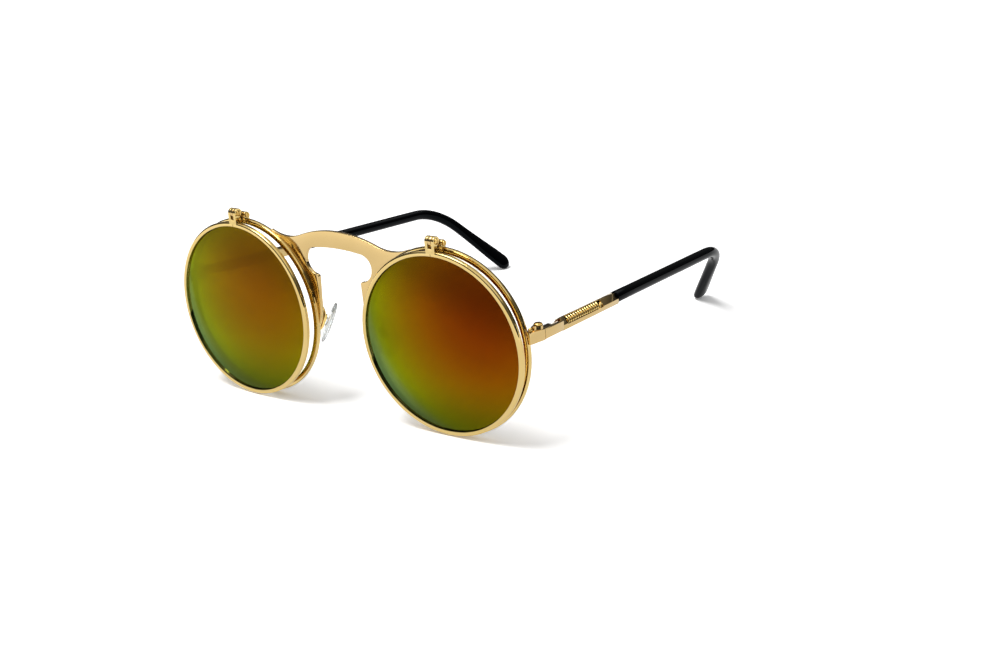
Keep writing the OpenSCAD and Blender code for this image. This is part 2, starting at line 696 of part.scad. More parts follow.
// Section of the sleeve, with a slanted upper outer side
module sleeve_outline() {
    w = sleeve_w / 2;
    h = sleeve_h / 2;
    r = 0.4;
    polygon(concat(
        arc([-w + r, -h + r], r, 180, 270, 5), arc([w - r, -h + r], r, 270, 360, 5),
        [[w, facet_z], [facet_x, h]], arc([-w + r, h - r], r, 90, 180, 5)
    ));
}

// Flat front of the temple with its knuckle and leaf, and the rod and core wire that run on to the end
module temple_arm(s) {
    outer = sleeve_w / 2;
    low = -sleeve_h / 2 + 0.15;
    high = low + front_h;
    c = 0.15;
    color(gold) difference() {
        union() {
            temple_frame(s) {
                translate([0, front_len, 0]) rotate([90, 0, 0]) linear_extrude(front_len + 1) polygon([
                    [outer - side_t, low], [outer - c, low], [outer, low + c], [outer, high - c],
                    [outer - c, high], [outer - side_t, high]
                ]);
                translate([-rod_r, front_len - 1.2, -rod_r]) cube([outer - side_t + rod_r + 0.1, 1.2, 2 * rod_r]);
                translate([0, front_len - 0.6, 0]) rotate([-90, 0, 0])
                    cylinder(h = metal_len + 4 - front_len + 0.6, r = rod_r, $fn = small);
                translate([0, metal_len, 0]) rotate([-90, 0, 0])
                    cylinder(h = straight_len - metal_len + sink, r = core_r, $fn = small);
                rotate([0, bend_roll, 0]) translate([0, straight_len, 0]) {
                    translate([0, 0, -bend_r]) rotate([0, -90, 0])
                        rotate_extrude(angle = bend_angle, $fn = 4 * fine) translate([bend_r, 0]) circle(r = core_r - 0.05, $fn = small);
                    translate([0, bend_r * sin(bend_angle), -bend_r * (1 - cos(bend_angle))])
                        rotate([-90 - bend_angle, 0, 0]) translate([0, 0, -sink])
                            cylinder(h = core_tail + sink, r = core_r, $fn = small);
                }
            }
            side_frame(s) translate([0, 0, barrel_z - knuckle_h / 2]) linear_extrude(knuckle_h) union() {
                translate(hinge) circle(r = barrel_r, $fn = small);
                polygon([
                    hinge + [-barrel_r, 0], hinge + [-barrel_r + 0.5, inner_leaf], hinge + [0.9, inner_leaf], hinge + [0.9, 0]
                ]);
            }
        }
        side_frame(s) translate([0, split.y - far, -far]) cube_except_knuckle();
        side_frame(s) for (k = [-1, 1])
            translate([hinge.x, hinge.y, barrel_z + k * barrel_pitch - knuckle_h / 2 - knuckle_gap])
                cylinder(h = knuckle_h + 2 * knuckle_gap, r = barrel_r + split_w, $fn = small);
        side_frame(s) translate([hinge.x, hinge.y, -far]) cylinder(h = 2 * far, r = hinge_pin_r + pin_clear, $fn = small);
    }
}
// Everything ahead of the split, apart from the temple's own knuckle
module cube_except_knuckle() {
    difference() {
        cube([2 * far, far, 2 * far]);
        translate([hinge.x, hinge.y - split.y + far, barrel_z - knuckle_h / 2 + far])
            cylinder(h = knuckle_h, r = barrel_r + 0.01, $fn = small);
    }
}

// Metal sleeve with its window, bored for the spring
module temple_sleeve(s) {
    len = metal_len - front_len;
    drop = (sleeve_h - sleeve_back_h) / 2;
    w0 = window_at;
    color(gold) temple_frame(s) translate([0, front_len, 0]) difference() {
        intersection() {
            translate([0, len, 0]) rotate([90, 0, 0]) linear_extrude(len) sleeve_outline();
            across(-far, far) polygon([
                [0, -sleeve_h / 2], [len, -sleeve_h / 2 + drop], [len, sleeve_h / 2 - drop], [0, sleeve_h / 2]
            ]);
        }
        translate([0, -1, 0]) rotate([-90, 0, 0]) cylinder(h = len + 2, r = rod_r + pin_clear, $fn = small);
        translate([0, w0, 0]) rotate([-90, 0, 0]) cylinder(h = window_len, r = coil_bore, $fn = small);
        translate([0, w0 + window_len, 0]) rotate([90, 0, 0]) linear_extrude(window_len) polygon([
            [0.6, window_low], [sleeve_w, window_low], [sleeve_w, sleeve_w], [0.1, sleeve_w], [0.1, 1.2]
        ]);
    }
}

// One turn after another round the rod, with straight ends that stand square on the window's end walls
function coil_path() = let (
    y0 = front_len + window_at,
    n = coil_turns * coil_steps,
    turn = coil_turns * 360,
    first = [for (i = [0:n]) [
        coil_mid * cos(turn * i / n),
        y0 + coil_lead + coil_wire + (window_len - 2 * coil_lead - 2 * coil_wire) * i / n,
        coil_mid * sin(turn * i / n)
    ]]
) concat(
    [[coil_mid * cos(-38), y0 + 0.01, coil_mid * sin(-38)], [coil_mid * cos(-34), y0 + coil_lead, coil_mid * sin(-34)]],
    first,
    [[coil_mid * cos(turn + 34), y0 + window_len - coil_lead, coil_mid * sin(turn + 34)],
     [coil_mid * cos(turn + 38), y0 + window_len - 0.01, coil_mid * sin(turn + 38)]]
);
module temple_spring(s) {
    color(gold_bright) temple_frame(s) wire(coil_path(), coil_wire, 6, [1, 0, 0]);
}
// Least space between two turns of the wire, measured on its own points
coil_points = coil_path();
coil_least = min([for (i = [3:len(coil_points) - 4 - coil_steps], j = [i + coil_steps - 2:min(i + coil_steps + 2, len(coil_points) - 4)])
    norm(coil_points[i] - coil_points[j])]) - 2 * coil_wire;
echo(coil_least_gap = coil_least, origin_y = front_y, pitch = temple_pitch);

// Black tip, hollow for the rod and the core wire
module temple_tip(s) {
    sides = 20;
    bore_sides = 12;
    outer = tip_points(sides);
    bore_stations = concat([for (st = tip_stations) if (st[0] < core_far) st], [[core_far + sink]]);
    inner = [for (st = bore_stations) each tube_ring(st[0], rod_r + 0.09, rod_r + 0.09, bore_sides)];
    rings = len(tip_stations);
    bores = len(bore_stations);
    n = len(outer);
    skin = tube_faces(rings, sides, true);
    bore = [for (f = tube_faces(bores, bore_sides, false)) [for (i = f) i + n]];
    lip = concat(
        [for (i = [0:sides - 1]) let (k = floor(i * bore_sides / sides), k2 = floor((i + 1) * bore_sides / sides))
            each concat([[(i + 1) % sides, i, n + k2 % bore_sides]], k == k2 ? [] : [[n + k, n + k2 % bore_sides, i]])]
    );
    color(black_gloss) temple_frame(s) polyhedron(
        points = concat(outer, inner),
        faces = concat(
            [for (i = [1:len(skin) - 1]) skin[i]],
            [for (i = [1:len(bore) - 1]) bore[i]],
            lip
        ),
        convexity = 8
    );
}

base_rim(left);  // base_rim_left
base_rim(right);  // base_rim_right
bridge_plate();
clear_lens(left);  // clear_lens_left
clear_lens(right);  // clear_lens_right
endpiece(left);  // endpiece_left
endpiece(right);  // endpiece_right
rim_lock_screw(left);  // rim_lock_screw_left
rim_lock_screw(right);  // rim_lock_screw_right
flip_link(left);  // flip_link_left
flip_link(right);  // flip_link_right
link_screw(left);  // link_screw_left
link_screw(right);  // link_screw_right
pad_arm(left);  // pad_arm_left
pad_arm(right);  // pad_arm_right
pad_box(left);  // pad_box_left
pad_box(right);  // pad_box_right
pad_screw(left);  // pad_screw_left
pad_screw(right);  // pad_screw_right
nose_pad(left);  // nose_pad_left
nose_pad(right);  // nose_pad_right
temple_hinge_screw(left);  // temple_hinge_screw_left
temple_hinge_screw(right);  // temple_hinge_screw_right
flip_rim(left);  // flip_rim_left
flip_rim(right);  // flip_rim_right
flip_lens(left);  // flip_lens_left
flip_lens(right);  // flip_lens_right
flip_hinge_screw(left);  // flip_hinge_screw_left
flip_hinge_screw(right);  // flip_hinge_screw_right
temple_arm(left);  // temple_arm_left
temple_arm(right);  // temple_arm_right
temple_sleeve(left);  // temple_sleeve_left
temple_sleeve(right);  // temple_sleeve_right
temple_spring(left);  // temple_spring_left
temple_spring(right);  // temple_spring_right
temple_tip(left);  // temple_tip_left
temple_tip(right);  // temple_tip_right
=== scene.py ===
"""Studio scene of round metal glasses whose mirrored sun lenses flip up over clear lenses.

Every piece is drawn in millimetres in the frame of the part that carries it, and is then set in the
glasses' own frame in metres. The front faces -Y, the temples run back along +Y, and +X is the wearer's left.
"""

import json
import logging
from contextlib import contextmanager
from dataclasses import dataclass, field
from enum import Enum
from math import asin, atan2, copysign, cos, degrees, hypot, pi, radians, sin, sqrt, tan, tau
from typing import Callable, Iterator, Sequence

import bmesh
import bpy
from mathutils import Matrix, Vector


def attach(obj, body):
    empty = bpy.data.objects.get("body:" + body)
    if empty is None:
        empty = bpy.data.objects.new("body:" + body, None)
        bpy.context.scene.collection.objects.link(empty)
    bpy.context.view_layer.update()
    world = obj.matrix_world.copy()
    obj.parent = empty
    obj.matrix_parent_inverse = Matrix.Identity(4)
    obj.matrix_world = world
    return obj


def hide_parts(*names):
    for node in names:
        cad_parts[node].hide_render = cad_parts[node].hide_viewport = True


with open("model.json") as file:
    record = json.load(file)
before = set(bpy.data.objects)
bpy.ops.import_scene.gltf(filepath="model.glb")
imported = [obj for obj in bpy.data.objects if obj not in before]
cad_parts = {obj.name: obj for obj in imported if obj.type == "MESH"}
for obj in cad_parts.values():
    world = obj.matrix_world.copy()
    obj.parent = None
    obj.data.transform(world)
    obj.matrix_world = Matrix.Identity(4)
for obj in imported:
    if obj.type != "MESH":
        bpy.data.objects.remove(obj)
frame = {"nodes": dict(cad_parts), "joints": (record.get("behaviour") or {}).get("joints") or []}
log = logging.getLogger("glasses")
Piece = bpy.types.Object
Node = bpy.types.Node
Socket = bpy.types.NodeSocket

# A millimetre in metres, the facets of a full turn, the angle of a sharp edge, and a lens groove's depth.
MM = 0.001
AROUND = 192
CREASE = 34
GROOVE = 0.3


class Side(Enum):
    """The wearer's two sides."""

    LEFT = "left"
    RIGHT = "right"


class Axis(Enum):
    """The three axes, by their place in a vector."""

    X = 0
    Y = 1
    Z = 2


@dataclass(frozen=True)
class Layout:
    """Driving sizes of the glasses, in millimetres and degrees."""

    centres: float = 71.0
    wrap: float = 2.25
    rim_r: float = 26.0
    flip_w: float = 1.25
    flip_in: float = 0.3
    flip_t: float = 1.4
    base_w: float = 1.6
    base_t: float = 1.5
    rim_gap: float = 2.3
    lens_t: float = 1.0
    dome: float = 260.0
    hinge_up: float = 2.3
    hinge_back: float = 1.3
    hang_left: float = 2.0
    hang_right: float = -0.5
    temple_in: float = 2.85
    temple_pitch: float = 3.61957
    sleeve_w: float = 3.2
    split: tuple = (63.3983, 9.5941)
    arm_z: float = 5.0

    @property
    def front_y(self) -> float:
        """Where the flip rims' face lies along Y, from the flip hinge's place in the frame."""
        pos = next(j["pos_m"] for j in frame["joints"] if j["name"] == "flip_left_hinge")
        return pos[1] / MM - self.hinge_back * cos(radians(self.wrap))

    @property
    def flip_r(self) -> float:
        """Outer radius of a flip rim, a little less than a base rim's."""
        return self.rim_r - self.flip_in

    @property
    def flip_inner(self) -> float:
        """Inner radius of a flip rim."""
        return self.flip_r - self.flip_w

    @property
    def base_y(self) -> float:
        """Depth of a base rim's front face in the ring frame."""
        return self.flip_t + self.rim_gap

    def front(self, side: Side) -> Matrix:
        """The frame between the lens centres, mirrored for the wearer's right."""
        place = Matrix.Translation((0, self.front_y, self.rim_r))
        return place if side is Side.LEFT else Matrix.Scale(-1, 4, (1, 0, 0)) @ place

    def ring(self, side: Side) -> Matrix:
        """The frame centred on one lens and turned by the wrap angle."""
        turn = Matrix.Rotation(radians(self.wrap), 4, "Z")
        return self.front(side) @ Matrix.Translation((self.centres / 2, 0, 0)) @ turn

    def flip(self, side: Side) -> Matrix:
        """The ring frame, swung about the flip hinge as that sun lens hangs."""
        hang = self.hang_left if side is Side.LEFT else self.hang_right
        axis = Matrix.Translation((0, self.hinge_back, self.rim_r + self.hinge_up))
        return self.ring(side) @ axis @ Matrix.Rotation(radians(hang), 4, "X") @ axis.inverted()

    def temple(self, side: Side) -> Matrix:
        """The frame of a temple, from the split along the arm."""
        start = Matrix.Translation((self.split[0] - self.sleeve_w / 2, self.split[1], self.arm_z))
        turn = Matrix.Rotation(radians(self.temple_in), 4, "Z")
        pitch = Matrix.Rotation(radians(-self.temple_pitch), 4, "X")
        return self.front(side) @ start @ turn @ pitch


LAYOUT = Layout()


def deselect() -> None:
    bpy.ops.object.select_all(action="DESELECT")


def activate(piece: Piece) -> None:
    """Makes a piece the only selected and the active object."""
    deselect()
    piece.select_set(True)
    bpy.context.view_layer.objects.active = piece


@contextmanager
def editing(piece: Piece) -> Iterator[None]:
    """Opens a piece in edit mode, in vertex mode with nothing selected, and closes it again."""
    activate(piece)
    bpy.ops.object.mode_set(mode="EDIT")
    bpy.ops.mesh.select_mode(type="VERT")
    bpy.ops.mesh.select_all(action="DESELECT")
    try:
        yield
    finally:
        bpy.ops.object.mode_set(mode="OBJECT")


def select_every() -> None:
    """Selects the whole of the mesh in edit mode."""
    bpy.ops.mesh.select_all(action="SELECT")


def pick(piece: Piece, chosen: Callable[[list], list]) -> None:
    """Selects some vertices of a piece in edit mode, and nothing else.

    Args:
        piece: the mesh object in edit mode.
        chosen: takes all the vertices in order and gives those that are wanted.
    """
    bpy.ops.mesh.select_all(action="DESELECT")
    mesh = bmesh.from_edit_mesh(piece.data)
    for vertex in chosen(list(mesh.verts)):
        vertex.select_set(True)
    mesh.select_flush(True)
    bmesh.update_edit_mesh(piece.data)


def named(piece: Piece, name: str) -> Piece:
    """Names a piece and its mesh, and gives it back."""
    piece.name = piece.data.name = name
    return piece


def link(name: str, data: bpy.types.ID) -> Piece:
    """Puts a new object with some data in the scene and names both."""
    piece = bpy.data.objects.new(name, data)
    bpy.context.collection.objects.link(piece)
    return named(piece, name)


def draw(name: str, points: Sequence[Vector], closed: bool = True) -> Piece:
    """Draws an outline by extruding one vertex from point to point.

    Args:
        name: the new object's name.
        points: the outline's corners in order, in millimetres.
        closed: whether the last point joins the first.

    Returns:
        The outline as a mesh of edges.
    """
    deselect()
    bpy.ops.mesh.primitive_plane_add(size=1)
    piece = named(bpy.context.object, name)
    with editing(piece):
        select_every()
        bpy.ops.mesh.merge(type="CENTER")
        bpy.ops.transform.translate(value=points[0])
        for here, there in zip(points, points[1:]):
            bpy.ops.mesh.extrude_region_move(TRANSFORM_OT_translate={"value": there - here})
        if closed:
            pick(piece, lambda verts: [verts[0], verts[-1]])
            bpy.ops.mesh.edge_face_add()
    return piece


def tidy_mesh(piece: Piece, merge: float = 1e-4) -> None:
    """Merges doubled vertices and turns every face outwards."""
    with editing(piece):
        select_every()
        bpy.ops.mesh.remove_doubles(threshold=merge)
        bpy.ops.mesh.normals_make_consistent(inside=False)


def lathe(name: str, profile: Sequence[tuple], steps: int = AROUND) -> Piece:
    """Spins a profile once round the Y axis.

    Args:
        name: the new object's name.
        profile: pairs of radius and distance along Y, in order round a closed section, or from the axis
            back to the axis for a solid.
        steps: how many facets the turn has.

    Returns:
        The turned piece.
    """
    piece = draw(name, [Vector((r, d, 0)) for r, d in profile], closed=profile[0][0] != 0)
    with editing(piece):
        select_every()
        bpy.ops.mesh.spin(steps=steps, angle=tau, center=(0, 0, 0), axis=(0, 1, 0), use_auto_merge=True)
    tidy_mesh(piece)
    return piece


def slab(name: str, outline: Sequence[tuple], axis: Axis, start: float, wide: float) -> Piece:
    """Fills a flat outline and extrudes it along an axis.

    Args:
        name: the new object's name.
        outline: the outline's corners in order, as pairs of the other two coordinates.
        axis: the axis.
        start: where along the axis the outline lies.
        wide: how far it is extruded.

    Returns:
        The solid.
    """
    at = axis.value
    push = [wide if k == at else 0 for k in range(3)]
    piece = draw(name, [Vector((*pair[:at], start, *pair[at:])) for pair in outline])
    with editing(piece):
        select_every()
        bpy.ops.mesh.edge_face_add()
        select_every()
        bpy.ops.mesh.extrude_region_move(TRANSFORM_OT_translate={"value": push})
    tidy_mesh(piece)
    return piece


def shade(piece: Piece, angle: float = CREASE) -> None:
    """Shades a piece smooth except at edges sharper than an angle in degrees."""
    activate(piece)
    bpy.ops.object.shade_smooth_by_angle(angle=radians(angle))


def apply_modifier(piece: Piece, kind: str, **values: object) -> None:
    """Gives a piece a modifier of a kind, with values by attribute name, and applies it."""
    activate(piece)
    modifier = piece.modifiers.new(kind.title(), kind)
    for key, value in values.items():
        setattr(modifier, key, value)
    bpy.ops.object.modifier_apply(modifier=modifier.name)


def soften(piece: Piece, width: float, segments: int = 2, angle: float = 32) -> None:
    """Rounds a piece's sharp edges and shades the rest smooth.

    Args:
        piece: the piece, with its faces turned outwards.
        width: the width of the rounding in millimetres.
        segments: how many faces round each edge.
        angle: edges sharper than this many degrees are rounded.
    """
    limit = radians(angle)
    apply_modifier(piece, "BEVEL", width=width, segments=segments, limit_method="ANGLE", angle_limit=limit)
    shade(piece, angle)


def carve(piece: Piece, cutter: Piece) -> None:
    """Takes one solid out of another and removes the cutter."""
    apply_modifier(piece, "BOOLEAN", operation="DIFFERENCE", solver="EXACT", object=cutter)
    bpy.data.objects.remove(cutter, do_unlink=True)


def join(name: str, pieces: Sequence[Piece]) -> Piece:
    """Joins several meshes into the first and names it."""
    activate(pieces[0])
    for piece in pieces[1:]:
        piece.select_set(True)
    bpy.ops.object.join()
    return named(pieces[0], name)


def settle(piece: Piece, place: Matrix) -> None:
    """Sets a piece drawn in millimetres in its place in the glasses' frame, in metres."""
    whole = Matrix.Scale(MM, 4) @ place
    piece.data.transform(whole)
    if whole.determinant() < 0:
        piece.data.flip_normals()
    piece.data.update()


def arc(centre: tuple, radius: float, start: float, end: float, count: int) -> list:
    """Points along an arc in a plane, from one angle in degrees to another."""
    turns = [radians(start + (end - start) * i / count) for i in range(count + 1)]
    return [(centre[0] + radius * cos(t), centre[1] + radius * sin(t)) for t in turns]


def quadratic(a: tuple, b: tuple, c: tuple, count: int) -> list:
    """Points along a quadratic curve from a to c, pulled towards b."""
    steps = [i / count for i in range(count + 1)]
    return [
        tuple(a[k] * (1 - t) ** 2 + 2 * b[k] * t * (1 - t) + c[k] * t * t for k in (0, 1)) for t in steps
    ]


class Nodes:
    """Adds and links shader nodes in one tree."""

    def __init__(self, tree: bpy.types.NodeTree) -> None:
        """Starts from a tree, which is emptied first."""
        self.tree = tree
        tree.nodes.clear()

    def feed(self, socket: Socket, value: object) -> None:
        """Links an input to another node's output, or sets its plain value."""
        if isinstance(value, Socket):
            self.tree.links.new(value, socket)
        else:
            socket.default_value = value

    def add(self, kind: str, **values: object) -> Node:
        """Adds a node and sets its inputs, or its attributes where no input has a value's name.

        Args:
            kind: the node's type, without the ShaderNode that most begin with.
            **values: inputs or attributes by name; an input is named with an underscore for each space.

        Returns:
            The new node.
        """
        node = self.tree.nodes.new(kind if kind.startswith("NodeGroup") else f"ShaderNode{kind}")
        for key, value in values.items():
            socket = node.inputs.get(key.replace("_", " "))
            if socket is None:
                setattr(node, key, value)
            else:
                self.feed(socket, value)
        return node

    def maths(
        self, operation: str, a: object, b: object = 0.0, c: object = 0.0, clamp: bool = False
    ) -> Socket:
        """Adds a Math node.

        Args:
            operation: the Math node's operation.
            a: the first number or socket.
            b: the second number or socket.
            c: the third number or socket, for an operation that takes it.
            clamp: whether the result is held between 0 and 1.

        Returns:
            The result's socket.
        """
        node = self.add("Math", operation=operation, use_clamp=clamp)
        for socket, value in zip(node.inputs, (a, b, c)):
            self.feed(socket, value)
        return node.outputs[0]

    def mix(self, factor: object, a: object, b: object, blend: str = "MIX") -> Socket:
        """Mixes two colours.

        Args:
            factor: a number or a socket.
            a: the first colour or socket.
            b: the second colour or socket.
            blend: how the colours are mixed.

        Returns:
            The mixed colour's socket.
        """
        # A Mix node's colours are its inputs 6 and 7 and its output 2.
        node = self.add("Mix", data_type="RGBA", blend_type=blend)
        for at, value in ((0, factor), (6, a), (7, b)):
            self.feed(node.inputs[at], value)
        return node.outputs[2]

    def span(
        self, value: object, start: float, end: float, low: object, high: object, smooth: bool = False
    ) -> Socket:
        """Maps a range of values to another.

        Args:
            value: the number or socket that is mapped.
            start: the value that gives low.
            end: the value that gives high.
            low: the result at and below the start.
            high: the result at and past the end.
            smooth: whether the result eases in and out.

        Returns:
            The result's socket.
        """
        kind = "SMOOTHSTEP" if smooth else "LINEAR"
        given = {"Value": value, "From_Min": start, "From_Max": end, "To_Min": low, "To_Max": high}
        return self.add("MapRange", interpolation_type=kind, **given).outputs["Result"]

    def ramp(self, factor: object, stops: Sequence[tuple]) -> Socket:
        """Runs through colours.

        Args:
            factor: the number or socket that says how far along the ramp is read.
            stops: pairs of a place and a colour.

        Returns:
            The colour's socket.
        """
        node = self.add("ValToRGB", Fac=factor)
        elements = node.color_ramp.elements
        while len(elements) < len(stops):
            elements.new(0.5)
        for element, (at, colour) in zip(elements, stops):
            element.position = at
            element.color = colour
        return node.outputs["Color"]

    def noise(self, where: Socket, scale: object, detail: float, **values: object) -> Socket:
        """Adds a noise texture and gives its plain value."""
        node = self.add("TexNoise", Vector=where, Scale=scale, Detail=detail, **values)
        return node.outputs["Fac"]

    def here(self) -> Socket:
        """Gives the Object coordinates, in metres."""
        return self.add("TexCoord").outputs["Object"]

    def rays(self) -> tuple:
        """Gives two masks: rays from the camera, also through glass, and mirrored rays."""
        path = self.add("LightPath").outputs
        direct = self.maths("MAXIMUM", path["Is Camera Ray"], path["Is Transmission Ray"])
        return direct, path["Is Glossy Ray"]


def shown(red: int, green: int, blue: int) -> tuple:
    """Turns a colour as seen on a screen, 0 to 255, into the linear colour that a shader takes."""
    parts = [c / 255 for c in (red, green, blue)]
    return tuple(p / 12.92 if p <= 0.04045 else ((p + 0.055) / 1.055) ** 2.4 for p in parts) + (1.0,)


def new_group(name: str, given: Sequence[tuple], made: Sequence[tuple]) -> tuple:
    """Starts a shader node group.

    Args:
        name: the group's name.
        given: a name, a kind (Color or Float) and a value for each input.
        made: a name and a kind for each output.

    Returns:
        The group, its node maker and its inputs' sockets.
    """
    group = bpy.data.node_groups.new(name, "ShaderNodeTree")
    for key, kind, value in given:
        socket = group.interface.new_socket(key, in_out="INPUT", socket_type=f"NodeSocket{kind}")
        socket.default_value = value
    for key, kind in made:
        group.interface.new_socket(key, in_out="OUTPUT", socket_type=f"NodeSocket{kind}")
    n = Nodes(group)
    return group, n, n.add("NodeGroupInput").outputs


def plating_group() -> bpy.types.NodeTree:
    """Builds the node group that gives plated metal its faint clouding and fine polish marks.

    Returns:
        The group, with the inputs Pale, Deep, Cloud Size and Gloss, and the outputs Colour, Roughness and
        Height.
    """
    wanted = [(key, "Color", (1, 1, 1, 1)) for key in ("Pale", "Deep")]
    wanted += [(key, "Float", 0.1) for key in ("Cloud Size", "Gloss")]
    made = (("Colour", "Color"), ("Roughness", "Float"), ("Height", "Float"))
    group, n, given = new_group("Plated finish", wanted, made)
    where = n.here()
    cloud = n.noise(where, given["Cloud Size"], 3.0)
    marks = n.noise(where, MARK_SIZE, 2.0, Roughness=0.6)
    pale = n.maths("MULTIPLY_ADD", cloud, 1.6, -0.3, clamp=True)
    rough = n.maths("MULTIPLY_ADD", cloud, 0.04, n.maths("SUBTRACT", given["Gloss"], 0.02))
    n.add("NodeGroupOutput", Colour=n.mix(pale, given["Deep"], given["Pale"]), Roughness=rough, Height=marks)
    return group


def interference_group() -> bpy.types.NodeTree:
    """Builds the node group of a mirror coat, whose hue runs from teal through green and olive to brown.

    Returns:
        The group, with the inputs Across and Up, from -1 to 1 over the lens, Middle, Slope and Lean, which
        place the hues, Crown, the light left at its top by painted shade, and Level, the brightness of the
        whole, partly the coat's own and partly painted shade, and the output Colour, the hues darkened by
        painted shade at the top, the bottom and a thin ring at the edge.
    """
    names = ("Across", "Up", "Middle", "Slope", "Lean", "Crown", "Level")
    group, n, given = new_group("Mirror coat", [(key, "Float", 0.5) for key in names], (("Colour", "Color"),))
    across, up = given["Across"], given["Up"]
    side = n.maths("SUBTRACT", given["Middle"], n.maths("MULTIPLY", across, given["Slope"]))
    side = n.maths("SUBTRACT", side, n.maths("MULTIPLY", up, given["Lean"]))
    reach = n.maths("ADD", n.maths("MULTIPLY", across, across), n.maths("MULTIPLY", up, up))
    hue = n.span(n.maths("MULTIPLY_ADD", reach, HUE_BULGE, side), *HUE_REACH, 0.0, 1.0)
    # Painted shade: the top, the bottom and a thin ring at the lens's edge are darkened, and the whole is
    # scaled by Level.
    tilted = n.maths("MULTIPLY_ADD", across, PAINTED_TOP_SHADE_TILT, up)
    crown = n.span(tilted, *PAINTED_TOP_SHADE_REACH, 1.0, given["Crown"], smooth=True)
    foot = n.span(n.maths("MULTIPLY", up, -1.0), *PAINTED_BOTTOM_SHADE_REACH, 1.0, PAINTED_BOTTOM_SHADE_LEVEL, smooth=True)
    edge = n.span(reach, *PAINTED_RING_SHADE_REACH, 1.0, PAINTED_RING_SHADE_LEVEL, smooth=True)
    level = given["Level"]
    for part in (crown, foot, edge):
        level = n.maths("MULTIPLY", level, part)
    painted_shade_colour = n.add("CombineColor", Red=level, Green=level, Blue=level).outputs["Color"]
    n.add("NodeGroupOutput", Colour=n.mix(1.0, n.ramp(hue, COAT_HUES), painted_shade_colour, "MULTIPLY"))
    return group


@dataclass(frozen=True)
class Finish:
    """A surface finish by name."""

    name: str

    def shader(self, n: Nodes) -> Node:
        """Adds the finish's nodes to an empty material and gives its shader."""
        raise NotImplementedError

    def material(self) -> bpy.types.Material:
        """Builds the finish, or returns it if it is there already."""
        made = bpy.data.materials.get(self.name)
        if made is None:
            made = bpy.data.materials.new(self.name)
            made.use_nodes = True
            n = Nodes(made.node_tree)
            n.add("OutputMaterial", Surface=self.shader(n).outputs[0])
        return made


@dataclass(frozen=True)
class PlatedMetal(Finish):
    """A gold-plated finish."""

    pale: tuple
    deep: tuple
    gloss: float
    marks: float = 0.03

    def shader(self, n: Nodes) -> Node:
        """Plates the metal with the shared group."""
        plated = n.add("Group", node_tree=GROUPS["plating"])
        for socket, value in zip(plated.inputs, (self.pale, self.deep, CLOUD_SIZE, self.gloss)):
            socket.default_value = value
        colour, rough, height = plated.outputs
        bump = n.add("Bump", Strength=self.marks, Distance=0.00002, Height=height)
        given = {"Metallic": 1.0, "Base_Color": colour, "Roughness": rough, "Normal": bump.outputs["Normal"]}
        return n.add("BsdfPrincipled", **given)


@dataclass(frozen=True)
class MirrorTint(Finish):
    """One sun lens's mirror coat: where its hues lie over the lens, and its painted shade on top and overall.
    """

    side: Side
    middle: float
    slope: float
    lean: float
    # crown and level are painted shade: the light left at the top, and the whole's brightness, which is
    # partly the coat's own darkness and partly painted shade that differs between the lenses.
    crown: float
    level: float

    def shader(self, n: Nodes) -> Node:
        """Lays the coat on coordinates centred on its lens."""
        sign = 1 if self.side is Side.LEFT else -1
        centre = Vector((sign * LAYOUT.centres / 2, 0, LAYOUT.rim_r)) * MM
        where = n.here()
        size = 1 / (LAYOUT.flip_inner * MM)
        mapping = n.add("Mapping", Vector=where, Location=-centre * size, Scale=(size, size, size))
        split = n.add("SeparateXYZ", Vector=mapping.outputs[0]).outputs
        coat = n.add("Group", node_tree=GROUPS["mirror"])
        for key, value in (("Across", split["X"]), ("Up", split["Z"])):
            n.feed(coat.inputs[key], value)
        for key in ("Middle", "Slope", "Lean", "Crown", "Level"):
            coat.inputs[key].default_value = getattr(self, key.lower())
        rough = n.maths("MULTIPLY_ADD", n.noise(where, 300.0, 2.0), 0.02, 0.02)
        return n.add(
            "BsdfPrincipled",
            Metallic=0.6,
            IOR=1.2,
            Specular_IOR_Level=0.0,
            Specular_Tint=(1.0, 0.8, 0.05, 1.0),
            Transmission_Weight=1.0,
            Base_Color=coat.outputs["Colour"],
            Roughness=rough,
        )


@dataclass(frozen=True)
class ClearPlastic(Finish):
    """A clear finish: a polished lens or a soft silicone pad."""

    colour: tuple
    rough: float
    see_through: float
    index: float
    cloud: float = 0.0

    def shader(self, n: Nodes) -> Node:
        """Varies the colour and the roughness with a faint haze."""
        haze = n.noise(n.here(), 700.0, 2.0)
        faint = tuple(c * 0.97 for c in self.colour[:3]) + (1.0,)
        return n.add(
            "BsdfPrincipled",
            IOR=self.index,
            Transmission_Weight=self.see_through,
            Base_Color=n.mix(haze, self.colour, faint),
            Roughness=n.maths("MULTIPLY_ADD", haze, self.cloud, self.rough),
        )


@dataclass(frozen=True)
class BlackGloss(Finish):
    """The glossy black of the moulded tips, with faint flow marks."""

    def shader(self, n: Nodes) -> Node:
        """Varies the colour, the roughness and the height with the flow of the mould."""
        flow = n.noise(n.here(), 160.0, 3.0, Roughness=0.55)
        bump = n.add("Bump", Strength=0.05, Distance=0.0001, Height=flow)
        return n.add(
            "BsdfPrincipled",
            Normal=bump.outputs["Normal"],
            Specular_IOR_Level=0.07,
            Specular_Tint=(0.75, 0.88, 1.0, 1.0),
            Base_Color=n.mix(flow, shown(1, 1, 2), shown(4, 5, 7)),
            Roughness=n.maths("MULTIPLY_ADD", flow, 0.06, 0.05),
        )


